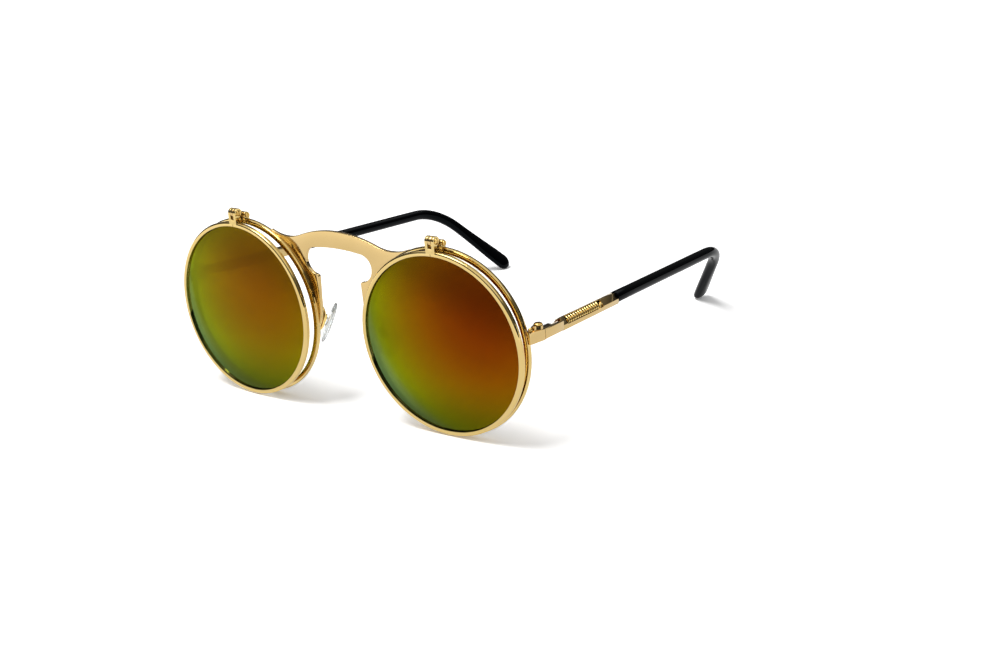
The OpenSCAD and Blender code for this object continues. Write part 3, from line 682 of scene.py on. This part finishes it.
@dataclass(frozen=True)
class PaleFloor(Finish):
    """The floor's paper, which shows paler to the camera and glows more with its distance."""

    pale: float = 0.86
    pale_lift: float = 0.6
    glow_reach: tuple = (0.15, 0.9)
    glow_seen: float = 0.14
    glow_mirrored: float = 0.3
    glow_far: float = 0.85

    def shader(self, n: Nodes) -> Node:
        """Adds a glow to the paper, by the kind of ray that meets it."""
        seen, mirrored = n.rays()
        paper = n.add("BsdfDiffuse", Color=n.maths("MULTIPLY_ADD", seen, self.pale_lift, self.pale))
        away = n.add("VectorMath", operation="LENGTH")
        n.feed(away.inputs[0], n.here())
        glows = []
        for ray, near in ((seen, self.glow_seen), (mirrored, self.glow_mirrored)):
            glow = n.span(away.outputs["Value"], *self.glow_reach, near, self.glow_far)
            glows.append(n.maths("MULTIPLY", ray, glow))
        glow = n.add("Emission", Color=WHITE, Strength=n.maths("MAXIMUM", *glows))
        both = n.add("AddShader")
        for socket, part in zip(both.inputs, (paper, glow)):
            n.feed(socket, part.outputs[0])
        return both


# The shared node groups, which main builds.
GROUPS: dict = {}
WHITE = (1.0, 1.0, 1.0, 1.0)
# Noise scales of the plating's polish marks and clouds.
MARK_SIZE = 5200.0
CLOUD_SIZE = 130.0
# How far the mirror coat's hues bulge with the square of the radius, and over which values they run. Where
# the painted shade at its top, bottom and edge begins and ends, in lens radii, squared for the edge, and the
# light left by the last two.
HUE_BULGE = 0.31
HUE_REACH = (0.35, 1.35)
PAINTED_TOP_SHADE_TILT = 0.3
PAINTED_TOP_SHADE_REACH = (0.2, 0.85)
PAINTED_BOTTOM_SHADE_REACH = (0.35, 1.0)
PAINTED_BOTTOM_SHADE_LEVEL = 0.5
PAINTED_RING_SHADE_REACH = (0.978, 0.997)
PAINTED_RING_SHADE_LEVEL = 0.03
COAT_HUES = (
    (0.05, shown(136, 52, 0)),
    (0.12, shown(142, 66, 0)),
    (0.22, shown(152, 87, 0)),
    (0.34, shown(152, 106, 0)),
    (0.44, shown(152, 122, 0)),
    (0.54, shown(150, 136, 0)),
    (0.65, shown(148, 151, 2)),
    (0.73, shown(140, 156, 28)),
    (0.82, shown(128, 154, 78)),
    (0.95, shown(98, 140, 92)),
)
FACE_GOLD = PlatedMetal("face_gold", shown(213, 184, 128), shown(207, 177, 118), 0.08)
RIM_GOLD = PlatedMetal("rim_gold", shown(222, 196, 134), shown(216, 187, 116), 0.06)
# The wires' gold is paler than the faces' gold, partly as painted highlight, so that the thin coil and wires
# show as bright as lit wire.
GOLD_FOR_WIRES_BRIGHTENED = PlatedMetal("gold_for_wires_brightened", shown(250, 222, 150), shown(240, 204, 116), 0.07)
SCREW_GOLD = PlatedMetal("screw_gold", shown(228, 196, 120), shown(206, 166, 84), 0.09, marks=0.06)
CLEAR_LENS = ClearPlastic("clear_lens_polish", shown(250, 253, 252), 0.01, 1.0, 1.25)
SILICONE = ClearPlastic("silicone", shown(240, 244, 244), 0.12, 0.85, 1.38, cloud=0.08)
BLACK = BlackGloss("black_gloss")
# The last two values of each coat, its top's light and its whole brightness, are painted shade, set apart for
# the two lenses.
COATS = {
    Side.LEFT: MirrorTint("mirror_coat_left", Side.LEFT, 0.56, 0.36, 0.27, 0.5, 0.79),
    Side.RIGHT: MirrorTint("mirror_coat_right", Side.RIGHT, 0.69, 0.24, 0.22, 0.6, 0.74),
}


def hand_over(piece: Piece, place: Matrix, finish: Finish, body: str, node: str) -> None:
    """Places and dresses a finished piece, lets it ride on its body, and hides the node that it stands for.

    Args:
        piece: the piece, in millimetres.
        place: the frame that it is drawn in.
        finish: its finish.
        body: the body that it moves with.
        node: the carried-over node that it stands for.
    """
    settle(piece, place)
    piece.data.materials.clear()
    piece.data.materials.append(finish.material())
    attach(piece, body)
    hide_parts(node)
    log.info("%s rides on %s, %d faces", piece.name, body, len(piece.data.polygons))


def dress_copy(
    node: str, finish: Finish, body: str, width: float, name: str = "", cuts: Sequence[tuple] = ()
) -> None:
    """Dresses a copy of a carried-over node, with its loose faces merged and its edges rounded.

    Args:
        node: the node to copy.
        finish: the copy's finish.
        body: the body that it moves with.
        width: the width of the rounding in millimetres.
        name: the new piece's name, where it isn't the node's with _dressed added.
        cuts: pairs of a point and a normal; what lies beyond each such plane is cut away first.
    """
    piece = link(name or f"{node}_dressed", frame["nodes"][node].data.copy())
    piece.data.transform(Matrix.Scale(1 / MM, 4))
    with editing(piece):
        select_every()
        bpy.ops.mesh.remove_doubles(threshold=0.002)
        bpy.ops.mesh.dissolve_limited(angle_limit=radians(0.5))
        for point, normal in cuts:
            select_every()
            bpy.ops.mesh.bisect(plane_co=point, plane_no=normal, use_fill=True, clear_outer=True)
    if piece.data.has_custom_normals:
        with editing(piece):
            bpy.ops.mesh.customdata_custom_splitnormals_clear()
    soften(piece, width)
    hand_over(piece, Matrix(), finish, body, node)


@dataclass
class SunFront:
    """A sun lens in its flip rim, with the ears and the screw of its hinge."""

    side: Side
    lines: tuple = (0.68, 0.98)
    line_w: float = 0.09
    line_deep: float = 0.14
    ear_w: float = 0.86
    ear_in: float = 0.595
    eye_r: float = 1.35
    block_up: float = 0.95
    seam_w: float = 0.14
    lens_t: float = 0.6
    seat: float = 0.95
    shoulder: tuple = ((0.52, 0.0), (0.3, 0.06), (0.13, 0.17), (0.03, 0.33), (0.0, 0.5))

    def rim(self) -> Piece:
        """Turns the rim, whose face is rounded outwards and whose outer wall has two fine lines."""
        outer, inner, t = LAYOUT.flip_r, LAYOUT.flip_inner, LAYOUT.flip_t
        section = [(inner, 0.07), (inner + 0.07, 0.0)] + [(outer - a, b) for a, b in self.shoulder]
        for at in self.lines:
            section += [(outer, at - self.line_w), (outer - self.line_deep, at), (outer, at + self.line_w)]
        section += [(outer, t - 0.18), (outer - 0.18, t), (inner + 0.06, t), (inner, t - 0.06)]
        section += lens_groove(inner, self.seat)
        return lathe(f"flip_rim_{self.side.value}_ring", section)

    def ears(self) -> list:
        """Draws the two ears from their side outline and the low block between them."""
        top = LAYOUT.rim_r + LAYOUT.hinge_up
        low = LAYOUT.flip_r - LAYOUT.flip_w / 2
        eye = arc((LAYOUT.hinge_back, top), self.eye_r, -8, 180, 20)
        outline = [(LAYOUT.flip_t, low), (LAYOUT.flip_t, top - self.eye_r)] + eye + [(0.0, low)]
        ears = pair_of_slabs("ear", outline, self.ear_in, self.ear_w, 0.12)
        high = LAYOUT.flip_r + self.block_up
        block = [(0.0, low), (LAYOUT.flip_t, low), (LAYOUT.flip_t, high), (0.0, high)]
        wide = self.ear_in + 0.1
        floor = slab("ear_block", block, Axis.X, -wide, 2 * wide)
        soften(floor, 0.08)
        return ears + [floor]

    def seam(self) -> Piece:
        """Draws the cutter of the fine seam in the rim under the hinge."""
        x = self.seam_w / 2
        corners = ((-x, -1), (x, -1), (x, 3), (-x, 3))
        return slab("seam_cutter", corners, Axis.Z, LAYOUT.flip_inner - 0.2, LAYOUT.flip_w + 0.3)

    def build(self) -> None:
        """Builds, places and dresses the sun front."""
        side = self.side.value
        place = LAYOUT.flip(self.side)
        body = f"flip_{side}"
        ring = self.rim()
        carve(ring, self.seam())
        shade(ring)
        rim = join(f"flip_rim_{side}_dressed", [ring] + self.ears())
        hand_over(rim, place, RIM_GOLD, body, f"flip_rim_{side}")
        lens = domed_lens(f"sun_lens_{side}", LAYOUT.flip_inner - 0.05, self.seat, self.lens_t)
        hand_over(lens, place, COATS[self.side], body, f"flip_lens_{side}")
        dress_copy(f"flip_hinge_screw_{side}", SCREW_GOLD, body, 0.05, f"hinge_screw_{side}")


def lens_groove(inner: float, at: float) -> list:
    """Lists the corners of the groove that holds a lens, from the back of a rim's inner wall forwards."""
    return [(inner, at + GROOVE), (inner + GROOVE, at), (inner, at - GROOVE)]


def pair_of_slabs(name: str, outline: Sequence[tuple], inside: float, wide: float, edge: float) -> list:
    """Draws two equal slabs with rounded edges, one at each side of the middle.

    Args:
        name: what the slabs are.
        outline: pairs of Y and Z round their side outline.
        inside: how far from the middle they start.
        wide: how wide each one is.
        edge: the width of their rounding.

    Returns:
        The two slabs.
    """
    made = []
    for start in (-inside - wide, inside):
        made.append(slab(name, outline, Axis.X, start, wide))
        soften(made[-1], edge, 3)
    return made


def domed_lens(name: str, radius: float, groove_y: float, thick: float) -> Piece:
    """Turns a domed lens with a bevelled edge.

    Args:
        name: the piece's name.
        radius: the lens's radius at the foot of its bevel.
        groove_y: the depth at which its bevel lies in the rim's groove.
        thick: its thickness.

    Returns:
        The lens, with its dome towards -Y.
    """
    rings = 14

    def dome(r: float, big: float) -> float:
        """Depth of a dome behind its apex at a radius."""
        return big - sqrt(big * big - r * r)

    apex = groove_y - thick / 2 - dome(radius, LAYOUT.dome)
    front = [(radius * k / rings, apex + dome(radius * k / rings, LAYOUT.dome)) for k in range(rings + 1)]
    back = [(r, apex + thick + dome(r, LAYOUT.dome - thick)) for r, _ in reversed(front)]
    edge = [(radius, groove_y - 0.26), (radius + 0.28, groove_y), (radius, groove_y + 0.26)]
    lens = lathe(name, front + edge + back, steps=160)
    shade(lens, 30)
    return lens


@dataclass
class BaseFront:
    """A base rim with its clear lens, lugs, link and screws."""

    side: Side
    lug_r: float = 0.95
    lug_in: float = 0.525
    lug_w: float = 0.75
    seat: float = 0.78
    shoulder: tuple = ((0.4, 0.0), (0.14, 0.08), (0.0, 0.3))
    line: tuple = ((0.0, 0.44), (0.12, 0.54), (0.0, 0.64))

    def rim(self) -> Piece:
        """Turns the rim, whose outer wall is slightly round with a fine line near the front."""
        outer, inner = LAYOUT.rim_r, LAYOUT.rim_r - LAYOUT.base_w
        y, end = LAYOUT.base_y, LAYOUT.base_y + LAYOUT.base_t
        section = [(inner, y + 0.2), (inner + 0.2, y)]
        section += [(outer - a, y + b) for a, b in self.shoulder + self.line]
        section += [(outer - a, end - b) for a, b in reversed(self.shoulder)]
        section += [(inner + 0.15, end), (inner, end - 0.15)] + lens_groove(inner, y + self.seat)
        return lathe(f"base_rim_{self.side.value}_ring", section)

    def lugs(self) -> list:
        """Draws the two round lugs on top of the rim."""
        y = LAYOUT.base_y + LAYOUT.base_t / 2
        z = LAYOUT.rim_r + self.lug_r + 0.1
        low = LAYOUT.rim_r - LAYOUT.base_w / 2
        outline = [(y - self.lug_r, low), (y + self.lug_r, low)] + arc((y, z), self.lug_r, 0, 180, 16)
        return pair_of_slabs("lug", outline, self.lug_in, self.lug_w, 0.1)

    def build(self) -> None:
        """Builds, places and dresses the base front."""
        side = self.side.value
        place = LAYOUT.ring(self.side)
        ring = self.rim()
        shade(ring)
        rim = join(f"base_rim_{side}_dressed", [ring] + self.lugs())
        hand_over(rim, place, RIM_GOLD, "frame", f"base_rim_{side}")
        radius = LAYOUT.rim_r - LAYOUT.base_w - 0.05
        lens = domed_lens(f"clear_lens_{side}_dressed", radius, LAYOUT.base_y + self.seat, LAYOUT.lens_t)
        hand_over(lens, place, CLEAR_LENS, "frame", f"clear_lens_{side}")
        dress_copy(f"flip_link_{side}", FACE_GOLD, "frame", 0.1)
        dress_copy(f"link_screw_{side}", SCREW_GOLD, "frame", 0.08)
        dress_copy(f"endpiece_{side}", FACE_GOLD, "frame", 0.12)
        dress_copy(f"rim_lock_screw_{side}", SCREW_GOLD, "frame", 0.05)
        dress_copy(f"temple_hinge_screw_{side}", SCREW_GOLD, "frame", 0.05)


@dataclass
class Bridge:
    """The flat bridge plate with its crown, dips and keyhole, bent between the two rims."""

    thick: float = 1.1
    setback: float = 0.8
    bend: float = 150.0
    crown_z: float = 26.2
    crown_r: float = 38.0
    dip_x: float = 18.9
    dip_r: float = 14.7
    lobe: tuple = (8.0, 16.9, 3.9)
    rise: float = 0.65
    nose_x: float = 7.7
    nub_r: float = 0.7
    strip_end: float = 5.0

    def half_outline(self) -> list:
        """Works out half of the outline, from the crown's middle round to the keyhole's top."""
        half_gap = LAYOUT.centres / 2
        ring = LAYOUT.rim_r - 0.02
        crown = (0, self.crown_z - self.crown_r)
        dip = (self.dip_x, crown[1] + sqrt((self.crown_r + self.dip_r) ** 2 - self.dip_x**2))
        lean = degrees(atan2(dip[1] - crown[1], dip[0]))
        lx, lz, lr = self.lobe
        arch_r = (lx * lx + (lr + self.rise) ** 2 - lr * lr) / (2 * self.rise)
        arch = (0, lz + lr + self.rise - arch_r)
        arch_a = degrees(atan2(lz - arch[1], lx))
        floor = lz - sqrt(lr * lr - (lx - self.nose_x - self.nub_r) ** 2)
        end = radians(self.strip_end)
        run_out = (half_gap - ring * cos(end), -ring * sin(end))
        meet = self.dip_meets_rim(dip, ring)
        rim_start = degrees(atan2(meet[1], meet[0] - half_gap))
        nub = (self.nose_x + self.nub_r, floor - self.nub_r)
        start = 270 + degrees(asin((nub[0] - lx) / lr))
        dip_end = degrees(atan2(meet[1] - dip[1], meet[0] - dip[0])) + 360
        points = arc(crown, self.crown_r, 90, lean, 14)
        points += arc(dip, self.dip_r, lean + 180, dip_end, 14)[1:]
        points += arc((half_gap, 0), ring, rim_start, 180 + self.strip_end, 48)[1:]
        points += quadratic(run_out, (self.nose_x + 0.25, 1), (self.nose_x + 0.3, 6), 12)[1:]
        points += arc(nub, self.nub_r, 180, 90, 8)
        points += arc((lx, lz), lr, start, 360 + arch_a, 30)[1:]
        points += arc(arch, arch_r, arch_a, 90, 8)[1:]
        return points

    def dip_meets_rim(self, dip: tuple, ring: float) -> tuple:
        """Finds where the dip's arc runs into the rim's outer circle.

        Args:
            dip: the centre of the dip's arc.
            ring: the rim's outer radius.

        Returns:
            The crossing that lies nearer the middle.
        """
        other = (LAYOUT.centres / 2, 0.0)
        dx, dz = other[0] - dip[0], other[1] - dip[1]
        apart = hypot(dx, dz)
        along = (self.dip_r**2 - ring**2 + apart**2) / (2 * apart)
        off = sqrt(max(self.dip_r**2 - along**2, 0.0))
        foot = (dip[0] + dx * along / apart, dip[1] + dz * along / apart)
        ends = [(foot[0] + k * off * dz / apart, foot[1] - k * off * dx / apart) for k in (-1, 1)]
        return max(ends, key=lambda p: p[0])

    def depth(self, x: float, back: float) -> float:
        """Depth of the bent strip at a distance from the middle.

        Args:
            x: the distance from the middle.
            back: how far behind the plate's face the point lies.

        Returns:
            The depth behind the flip rims' face.
        """
        wrap = radians(LAYOUT.wrap)
        face_y = LAYOUT.base_y + self.setback
        px = LAYOUT.centres / 2 - face_y * sin(wrap)
        py = face_y * cos(wrap)
        centre = py + (self.bend - px * sin(wrap)) / cos(wrap)
        radius = self.bend - back
        if abs(x) < radius * sin(wrap):
            return centre - sqrt(radius * radius - x * x)
        return centre - (radius - abs(x) * sin(wrap)) / cos(wrap)

    def build(self) -> None:
        """Draws, bends, rounds and dresses the plate."""
        half = self.half_outline()
        outline = half + [(-x, z) for x, z in reversed(half[1:-1])]
        plate = slab("bridge_plate_dressed", outline, Axis.Y, 0, self.thick)
        bends = 8
        wide = self.bend * sin(radians(LAYOUT.wrap))
        with editing(plate):
            for k in range(bends + 1):
                select_every()
                at = -wide + 2 * wide * k / bends
                bpy.ops.mesh.bisect(plane_co=(at, 0, 0), plane_no=(1, 0, 0))
        for vertex in plate.data.vertices:
            vertex.co.y = self.depth(vertex.co.x, vertex.co.y)
        plate.data.update()
        soften(plate, 0.16, 3, 40)
        hand_over(plate, LAYOUT.front(Side.LEFT), FACE_GOLD, "frame", "bridge_plate")


@dataclass
class Spring:
    """The coil seen in the sleeve's window."""

    start: float = 11.1
    length: float = 18.7
    turns: int = 14
    wire: float = 0.34
    outer: float = 1.38
    per_turn: int = 24
    end_angle: float = 34.0
    end_gap: float = 0.02

    def spot(self, turn: float, along: float) -> Vector:
        """The point of the wire's line at a turn in radians and a distance along."""
        middle = self.outer - self.wire
        return Vector((middle * cos(turn), along, middle * sin(turn)))

    def points(self) -> list:
        """Works out the wire's line, with ends that stand on the window's end walls."""
        lead = 2 * self.wire
        run = self.length - 2 * lead - 2 * self.wire
        count = self.turns * self.per_turn
        first, end = self.start + lead + self.wire, self.start + self.length
        angle = radians(self.end_angle)
        line = [self.spot(-angle, self.start + self.end_gap), self.spot(-angle, self.start + lead)]
        for i in range(count + 1):
            line.append(self.spot(tau * self.turns * i / count, first + run * i / count))
        return line + [self.spot(angle, end - lead), self.spot(angle, end - self.end_gap)]


def tube_along(name: str, points: Sequence[Vector], radius: float) -> Piece:
    """Makes a round wire along points, with closed ends.

    Args:
        name: the new object's name.
        points: the wire's line.
        radius: the wire's radius.

    Returns:
        The wire as a mesh.
    """
    curve = bpy.data.curves.new(name, "CURVE")
    curve.dimensions = "3D"
    curve.bevel_depth = radius
    curve.bevel_resolution = 5
    curve.use_fill_caps = True
    line = curve.splines.new("POLY")
    line.points.add(len(points) - 1)
    for point, place in zip(line.points, points):
        point.co = (*place, 1)
    activate(link(name, curve))
    bpy.ops.object.convert(target="MESH")
    piece = bpy.context.object
    tidy_mesh(piece, 1e-5)
    shade(piece, 40)
    return piece


@dataclass
class Temple:
    """A temple: the arm, its sleeve with the spring, and the black tip."""

    side: Side
    front_len: float = 8.9
    metal_len: float = 38.3
    corner_at: float = 106.2
    bend_r: float = 21.0
    bend_angle: float = 53.0
    roll: float = 36.0
    tail: float = 34.7
    tip_r: float = 1.68
    paddle_w: float = 1.6
    paddle_h: float = 3.0
    lip: tuple = ((0.0, 0.12), (0.04, 0.03), (0.14, 0.0))
    swell: float = 0.08
    spring: Spring = field(default_factory=Spring)

    @property
    def angle(self) -> float:
        """The tip's bend in radians."""
        return radians(self.bend_angle)

    @property
    def tangent(self) -> float:
        """How far before the corner the bend starts, and how far past it the bend ends."""
        return self.bend_r * tan(self.angle / 2)

    def stations(self) -> list:
        """Lists the distance along, half width and half height of each ring of the tip."""
        start, straight = self.metal_len, self.corner_at - self.tangent
        bend_len = self.bend_r * self.angle
        flat = self.tail - self.tangent - self.paddle_h
        r = self.tip_r
        high = r * (1 + self.swell)
        rings = [(start + a, r - b, r - b) for a, b in self.lip]
        rings += [(start + (straight - start) * i / 6, r, r) for i in range(1, 7)]
        rings += [(straight + bend_len * i / 16, r, r * (1 + self.swell * i / 16)) for i in range(1, 17)]
        at = straight + bend_len
        for i in range(1, 15):
            t = i / 14
            grow = t * t * (3 - 2 * t)
            wide, tall = r + (self.paddle_w - r) * grow, high + (self.paddle_h - high) * grow
            rings.append((at + flat * t, wide, tall))
        for i in range(1, 12):
            # The last ring stops just short of a point, and its face closes the end.
            a = radians(90 * i / 11.6)
            wide = self.paddle_w * (0.12 + 0.88 * cos(a))
            rings.append((at + flat + self.paddle_h * sin(a), wide, self.paddle_h * cos(a)))
        return rings

    def ring_place(self, along: float) -> Matrix:
        """The place of a ring of the tip at a distance along its middle line."""
        straight = self.corner_at - self.tangent
        turn = min(max((along - straight) / self.bend_r, 0.0), self.angle)
        y, z = min(along, straight), 0.0
        if along > straight:
            beyond = max(along - straight - self.bend_r * self.angle, 0.0)
            y += self.bend_r * sin(turn) + beyond * cos(self.angle)
            z -= self.bend_r * (1 - cos(turn)) + beyond * sin(self.angle)
        roll = Matrix.Rotation(radians(self.roll), 4, "Y")
        return roll @ Matrix.Translation((0, y, z)) @ Matrix.Rotation(-turn, 4, "X")

    def tip(self) -> Piece:
        """Extrudes a circle ring by ring along the tip and closes its rounded end."""
        deselect()
        sides = 40
        upright = (pi / 2, 0, 0)
        bpy.ops.mesh.primitive_circle_add(vertices=sides, radius=1, rotation=upright, fill_type="NGON")
        piece = bpy.context.object
        bpy.ops.object.transform_apply(rotation=True)
        places = [self.ring_place(s) @ Matrix.Diagonal((w, 1, h, 1)) for s, w, h in self.stations()]
        with editing(piece):
            for _ in places[1:]:
                pick(piece, lambda verts: verts[-sides:])
                bpy.ops.mesh.extrude_region_move(TRANSFORM_OT_translate={"value": (0, 1, 0)})
        for vertex in piece.data.vertices:
            ring = min(round(vertex.co.y), len(places) - 1)
            vertex.co = places[ring] @ Vector((vertex.co.x, 0, vertex.co.z))
        piece.data.update()
        tidy_mesh(piece)
        shade(piece, 50)
        return piece

    def sleeve_cuts(self, place: Matrix) -> list:
        """Lists the planes that take the sleeve's upper inner edge and the corner at its front.

        Args:
            place: the temple's frame.

        Returns:
            Pairs of a point and a normal in the glasses' frame.
        """
        edge = (Vector((-0.2, 0, 1.65)), Vector((-0.472, 0, 0.882)))
        across, down = Vector((-1.9, 0, -1.45)), Vector((-1.9, 2.4, 0))
        corner = (Vector((0.3, self.front_len, 1.65)), down.cross(across).normalized())
        turn = place.to_3x3()
        return [(place @ point, turn @ normal) for point, normal in (edge, corner)]

    def build(self) -> None:
        """Builds, places and dresses the temple."""
        side = self.side.value
        body = f"temple_{side}"
        place = LAYOUT.temple(self.side)
        tip = named(self.tip(), f"temple_tip_{side}_dressed")
        hand_over(tip, place, BLACK, body, f"temple_tip_{side}")
        spring = tube_along(f"spring_{side}_dressed", self.spring.points(), self.spring.wire)
        hand_over(spring, place, GOLD_FOR_WIRES_BRIGHTENED, body, f"temple_spring_{side}")
        dress_copy(f"temple_arm_{side}", FACE_GOLD, body, 0.12)
        dress_copy(f"temple_sleeve_{side}", FACE_GOLD, body, 0.14, cuts=self.sleeve_cuts(place))


@dataclass
class NosePad:
    """A clear pad on its bent wire arm, with the small box and screw that hold it."""

    side: Side
    length: float = 13.6
    width: float = 7.2
    thick: float = 1.9
    splay: float = 37.0
    slope: float = 30.0
    wire: float = 0.45
    past: float = 0.6
    behind: float = 3.0
    height: float = -2.7
    foot_turn: float = 8.0
    box_out: float = 2.08
    from_foot: tuple = (
        (0, 0, 0), (0, 0.4, 0), (0, 0.9, 0.1), (-0.7, 1.35, 1.7), (-0.8, 2, 4.1), (0.1, 2.3, 5.7), (1, 2.3, 6)
    )
    to_box: tuple = ((0.1, -0.1, 3.3), (0.1, -0.1, 1.5), (0, 0, 0))

    @property
    def centre(self) -> Vector:
        """The pad's centre in the front frame."""
        back = LAYOUT.base_y + LAYOUT.base_t
        return Vector((LAYOUT.centres / 2 - LAYOUT.rim_r + self.past, back + self.behind, self.height))

    @property
    def turned(self) -> Matrix:
        """The pad's slope and splay: +X away from the nose, +Z along the pad."""
        slope = Matrix.Rotation(radians(-self.slope), 4, "Y")
        return slope @ Matrix.Rotation(radians(-self.splay), 4, "Z")

    def pad(self) -> Piece:
        """Shapes a sphere into the drop-shaped pad, flat towards the box and crowned towards the nose."""
        deselect()
        bpy.ops.mesh.primitive_uv_sphere_add(segments=48, ring_count=24, radius=1)
        piece = bpy.context.object
        for vertex in piece.data.vertices:
            x, y, z = vertex.co
            flat = copysign(abs(x) ** 0.72, x)
            vertex.co = Vector((
                flat * self.thick / 2 * (0.8 if x > 0 else 1.0),
                y * self.width / 2 * (1 - 0.12 * z),
                z * self.length / 2,
            ))
        corners = ((-0.6, -1.15), (0.6, -1.15), (0.6, 1.15), (-0.6, 1.15))
        boss = slab("boss", corners, Axis.X, self.thick / 2 - 0.5, 1.65)
        soften(boss, 0.15, 3)
        shade(piece, 60)
        return join(f"nose_pad_{self.side.value}_dressed", [piece, boss])

    def arm_line(self) -> list:
        """Works out the wire's line from the back of the rim to the back of the box."""
        reach, back = LAYOUT.rim_r - LAYOUT.base_w / 2, LAYOUT.base_y + LAYOUT.base_t
        low = radians(self.foot_turn)
        local = Vector((-reach * cos(low), back - 0.1, -reach * sin(low)))
        wrap = Matrix.Rotation(radians(LAYOUT.wrap), 4, "Z")
        foot = wrap @ local + Vector((LAYOUT.centres / 2, 0, 0))
        box = self.centre + self.turned @ Vector((self.thick / 2 + self.box_out, 0, 0))
        line = [foot + Vector(step) for step in self.from_foot] + [box + Vector(step) for step in self.to_box]
        return smooth_line(line, 8)

    def build(self) -> None:
        """Builds, places and dresses the pad and what holds it."""
        side = self.side.value
        front = LAYOUT.front(self.side)
        place = front @ Matrix.Translation(self.centre) @ self.turned
        hand_over(self.pad(), place, SILICONE, "frame", f"nose_pad_{side}")
        arm = tube_along(f"pad_arm_{side}_dressed", self.arm_line(), self.wire)
        hand_over(arm, front, GOLD_FOR_WIRES_BRIGHTENED, "frame", f"pad_arm_{side}")
        dress_copy(f"pad_box_{side}", GOLD_FOR_WIRES_BRIGHTENED, "frame", 0.07)
        dress_copy(f"pad_screw_{side}", SCREW_GOLD, "frame", 0.07)


def smooth_line(points: Sequence[Vector], count: int) -> list:
    """Runs a smooth line through points.

    Args:
        points: the points to pass through.
        count: how many steps lie between two of them.

    Returns:
        The line's points.
    """
    line = []
    for i in range(len(points) - 1):
        a, b = points[max(i - 1, 0)], points[i]
        c, d = points[i + 1], points[min(i + 2, len(points) - 1)]
        for k in range(count):
            t = k / count
            line.append(0.5 * (
                2 * b + (c - a) * t + (2 * a - 5 * b + 4 * c - d) * t * t + (3 * b - a - 3 * c + d) * t**3
            ))
    return line + [points[-1]]


@dataclass
class Studio:
    """The floor, the soft light and the camera."""

    turn: float = 37.06
    rise: float = 19.43
    roll: float = -3.74
    eye: tuple = (260.84, -270.93, 127.47)
    lens: float = 51.906
    floor_size: float = 12.0
    bands: tuple = ((0, 0.05), (0.2, 0.03), (0.22, 0.4), (0.24, 0.06), (0.48, 0.16), (0.57, 0.16), (0.63, 1))
    soft_sky: float = 0.35
    lamp_at: tuple = (-0.2, -0.3, 1.05)
    lamp_size: float = 0.5
    lamp_watts: float = 7.5

    def camera(self) -> None:
        """Sets the camera where the photographer stood."""
        az, el, roll = (radians(v) for v in (self.turn, self.rise, self.roll))
        ahead = Vector((-sin(az) * cos(el), cos(az) * cos(el), -sin(el)))
        right = Vector((cos(az), sin(az), 0))
        up = right.cross(ahead)
        right_rolled = right * cos(roll) + up * sin(roll)
        up_rolled = up * cos(roll) - right * sin(roll)
        data = bpy.data.cameras.new("camera")
        data.lens = self.lens
        data.sensor_width = 36.0
        data.clip_start = 0.01
        camera = link("camera", data)
        turned = Matrix((right_rolled, up_rolled, -ahead)).transposed().to_4x4()
        spot = Vector(self.eye) + Vector((0, LAYOUT.front_y, LAYOUT.rim_r))
        camera.matrix_world = Matrix.Translation(spot * MM) @ turned
        bpy.context.scene.camera = camera

    def floor(self) -> None:
        """Lays the floor."""
        deselect()
        bpy.ops.mesh.primitive_plane_add(size=self.floor_size)
        floor = named(bpy.context.object, "floor")
        floor.data.materials.append(PaleFloor("pale_floor").material())

    def surround(self) -> None:
        """Sets up a white surround, which reflections see as darker up to mid height."""
        world = bpy.data.worlds.new("studio")
        bpy.context.scene.world = world
        world.use_nodes = True
        n = Nodes(world.node_tree)
        direction = n.add("TexCoord").outputs["Generated"]
        height = n.add("SeparateXYZ", Vector=direction).outputs["Z"]
        bands = n.ramp(height, [(at, (value, value, value, 1)) for at, value in self.bands])
        direct, mirrored = n.rays()
        sky = n.add("Background", Color=WHITE, Strength=self.soft_sky)
        for ray, colour in ((mirrored, bands), (direct, WHITE)):
            other = n.add("Background", Color=colour, Strength=1.0)
            both = n.add("MixShader", Fac=ray)
            n.feed(both.inputs[1], sky.outputs[0])
            n.feed(both.inputs[2], other.outputs[0])
            sky = both
        n.add("OutputWorld", Surface=sky.outputs[0])

    def softbox(self) -> None:
        """Hangs one soft lamp over the glasses."""
        data = bpy.data.lights.new("softbox", "AREA")
        data.size = self.lamp_size
        data.energy = self.lamp_watts
        lamp = link("softbox", data)
        lamp.location = self.lamp_at
        lamp.rotation_euler = (-Vector(self.lamp_at)).to_track_quat("-Z", "Y").to_euler()

    def build(self) -> None:
        """Sets the whole stage."""
        self.camera()
        self.floor()
        self.surround()
        self.softbox()
        bpy.context.scene.view_settings.view_transform = "Standard"


def main() -> None:
    """Builds the glasses and the studio."""
    logging.basicConfig(level=logging.INFO, format="%(name)s: %(message)s")
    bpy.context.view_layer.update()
    deselect()
    GROUPS["plating"] = plating_group()
    GROUPS["mirror"] = interference_group()
    Studio().build()
    for side in Side:
        SunFront(side).build()
        BaseFront(side).build()
        Temple(side).build()
        NosePad(side).build()
    Bridge().build()
    deselect()


if __name__ == "__main__":
    main()
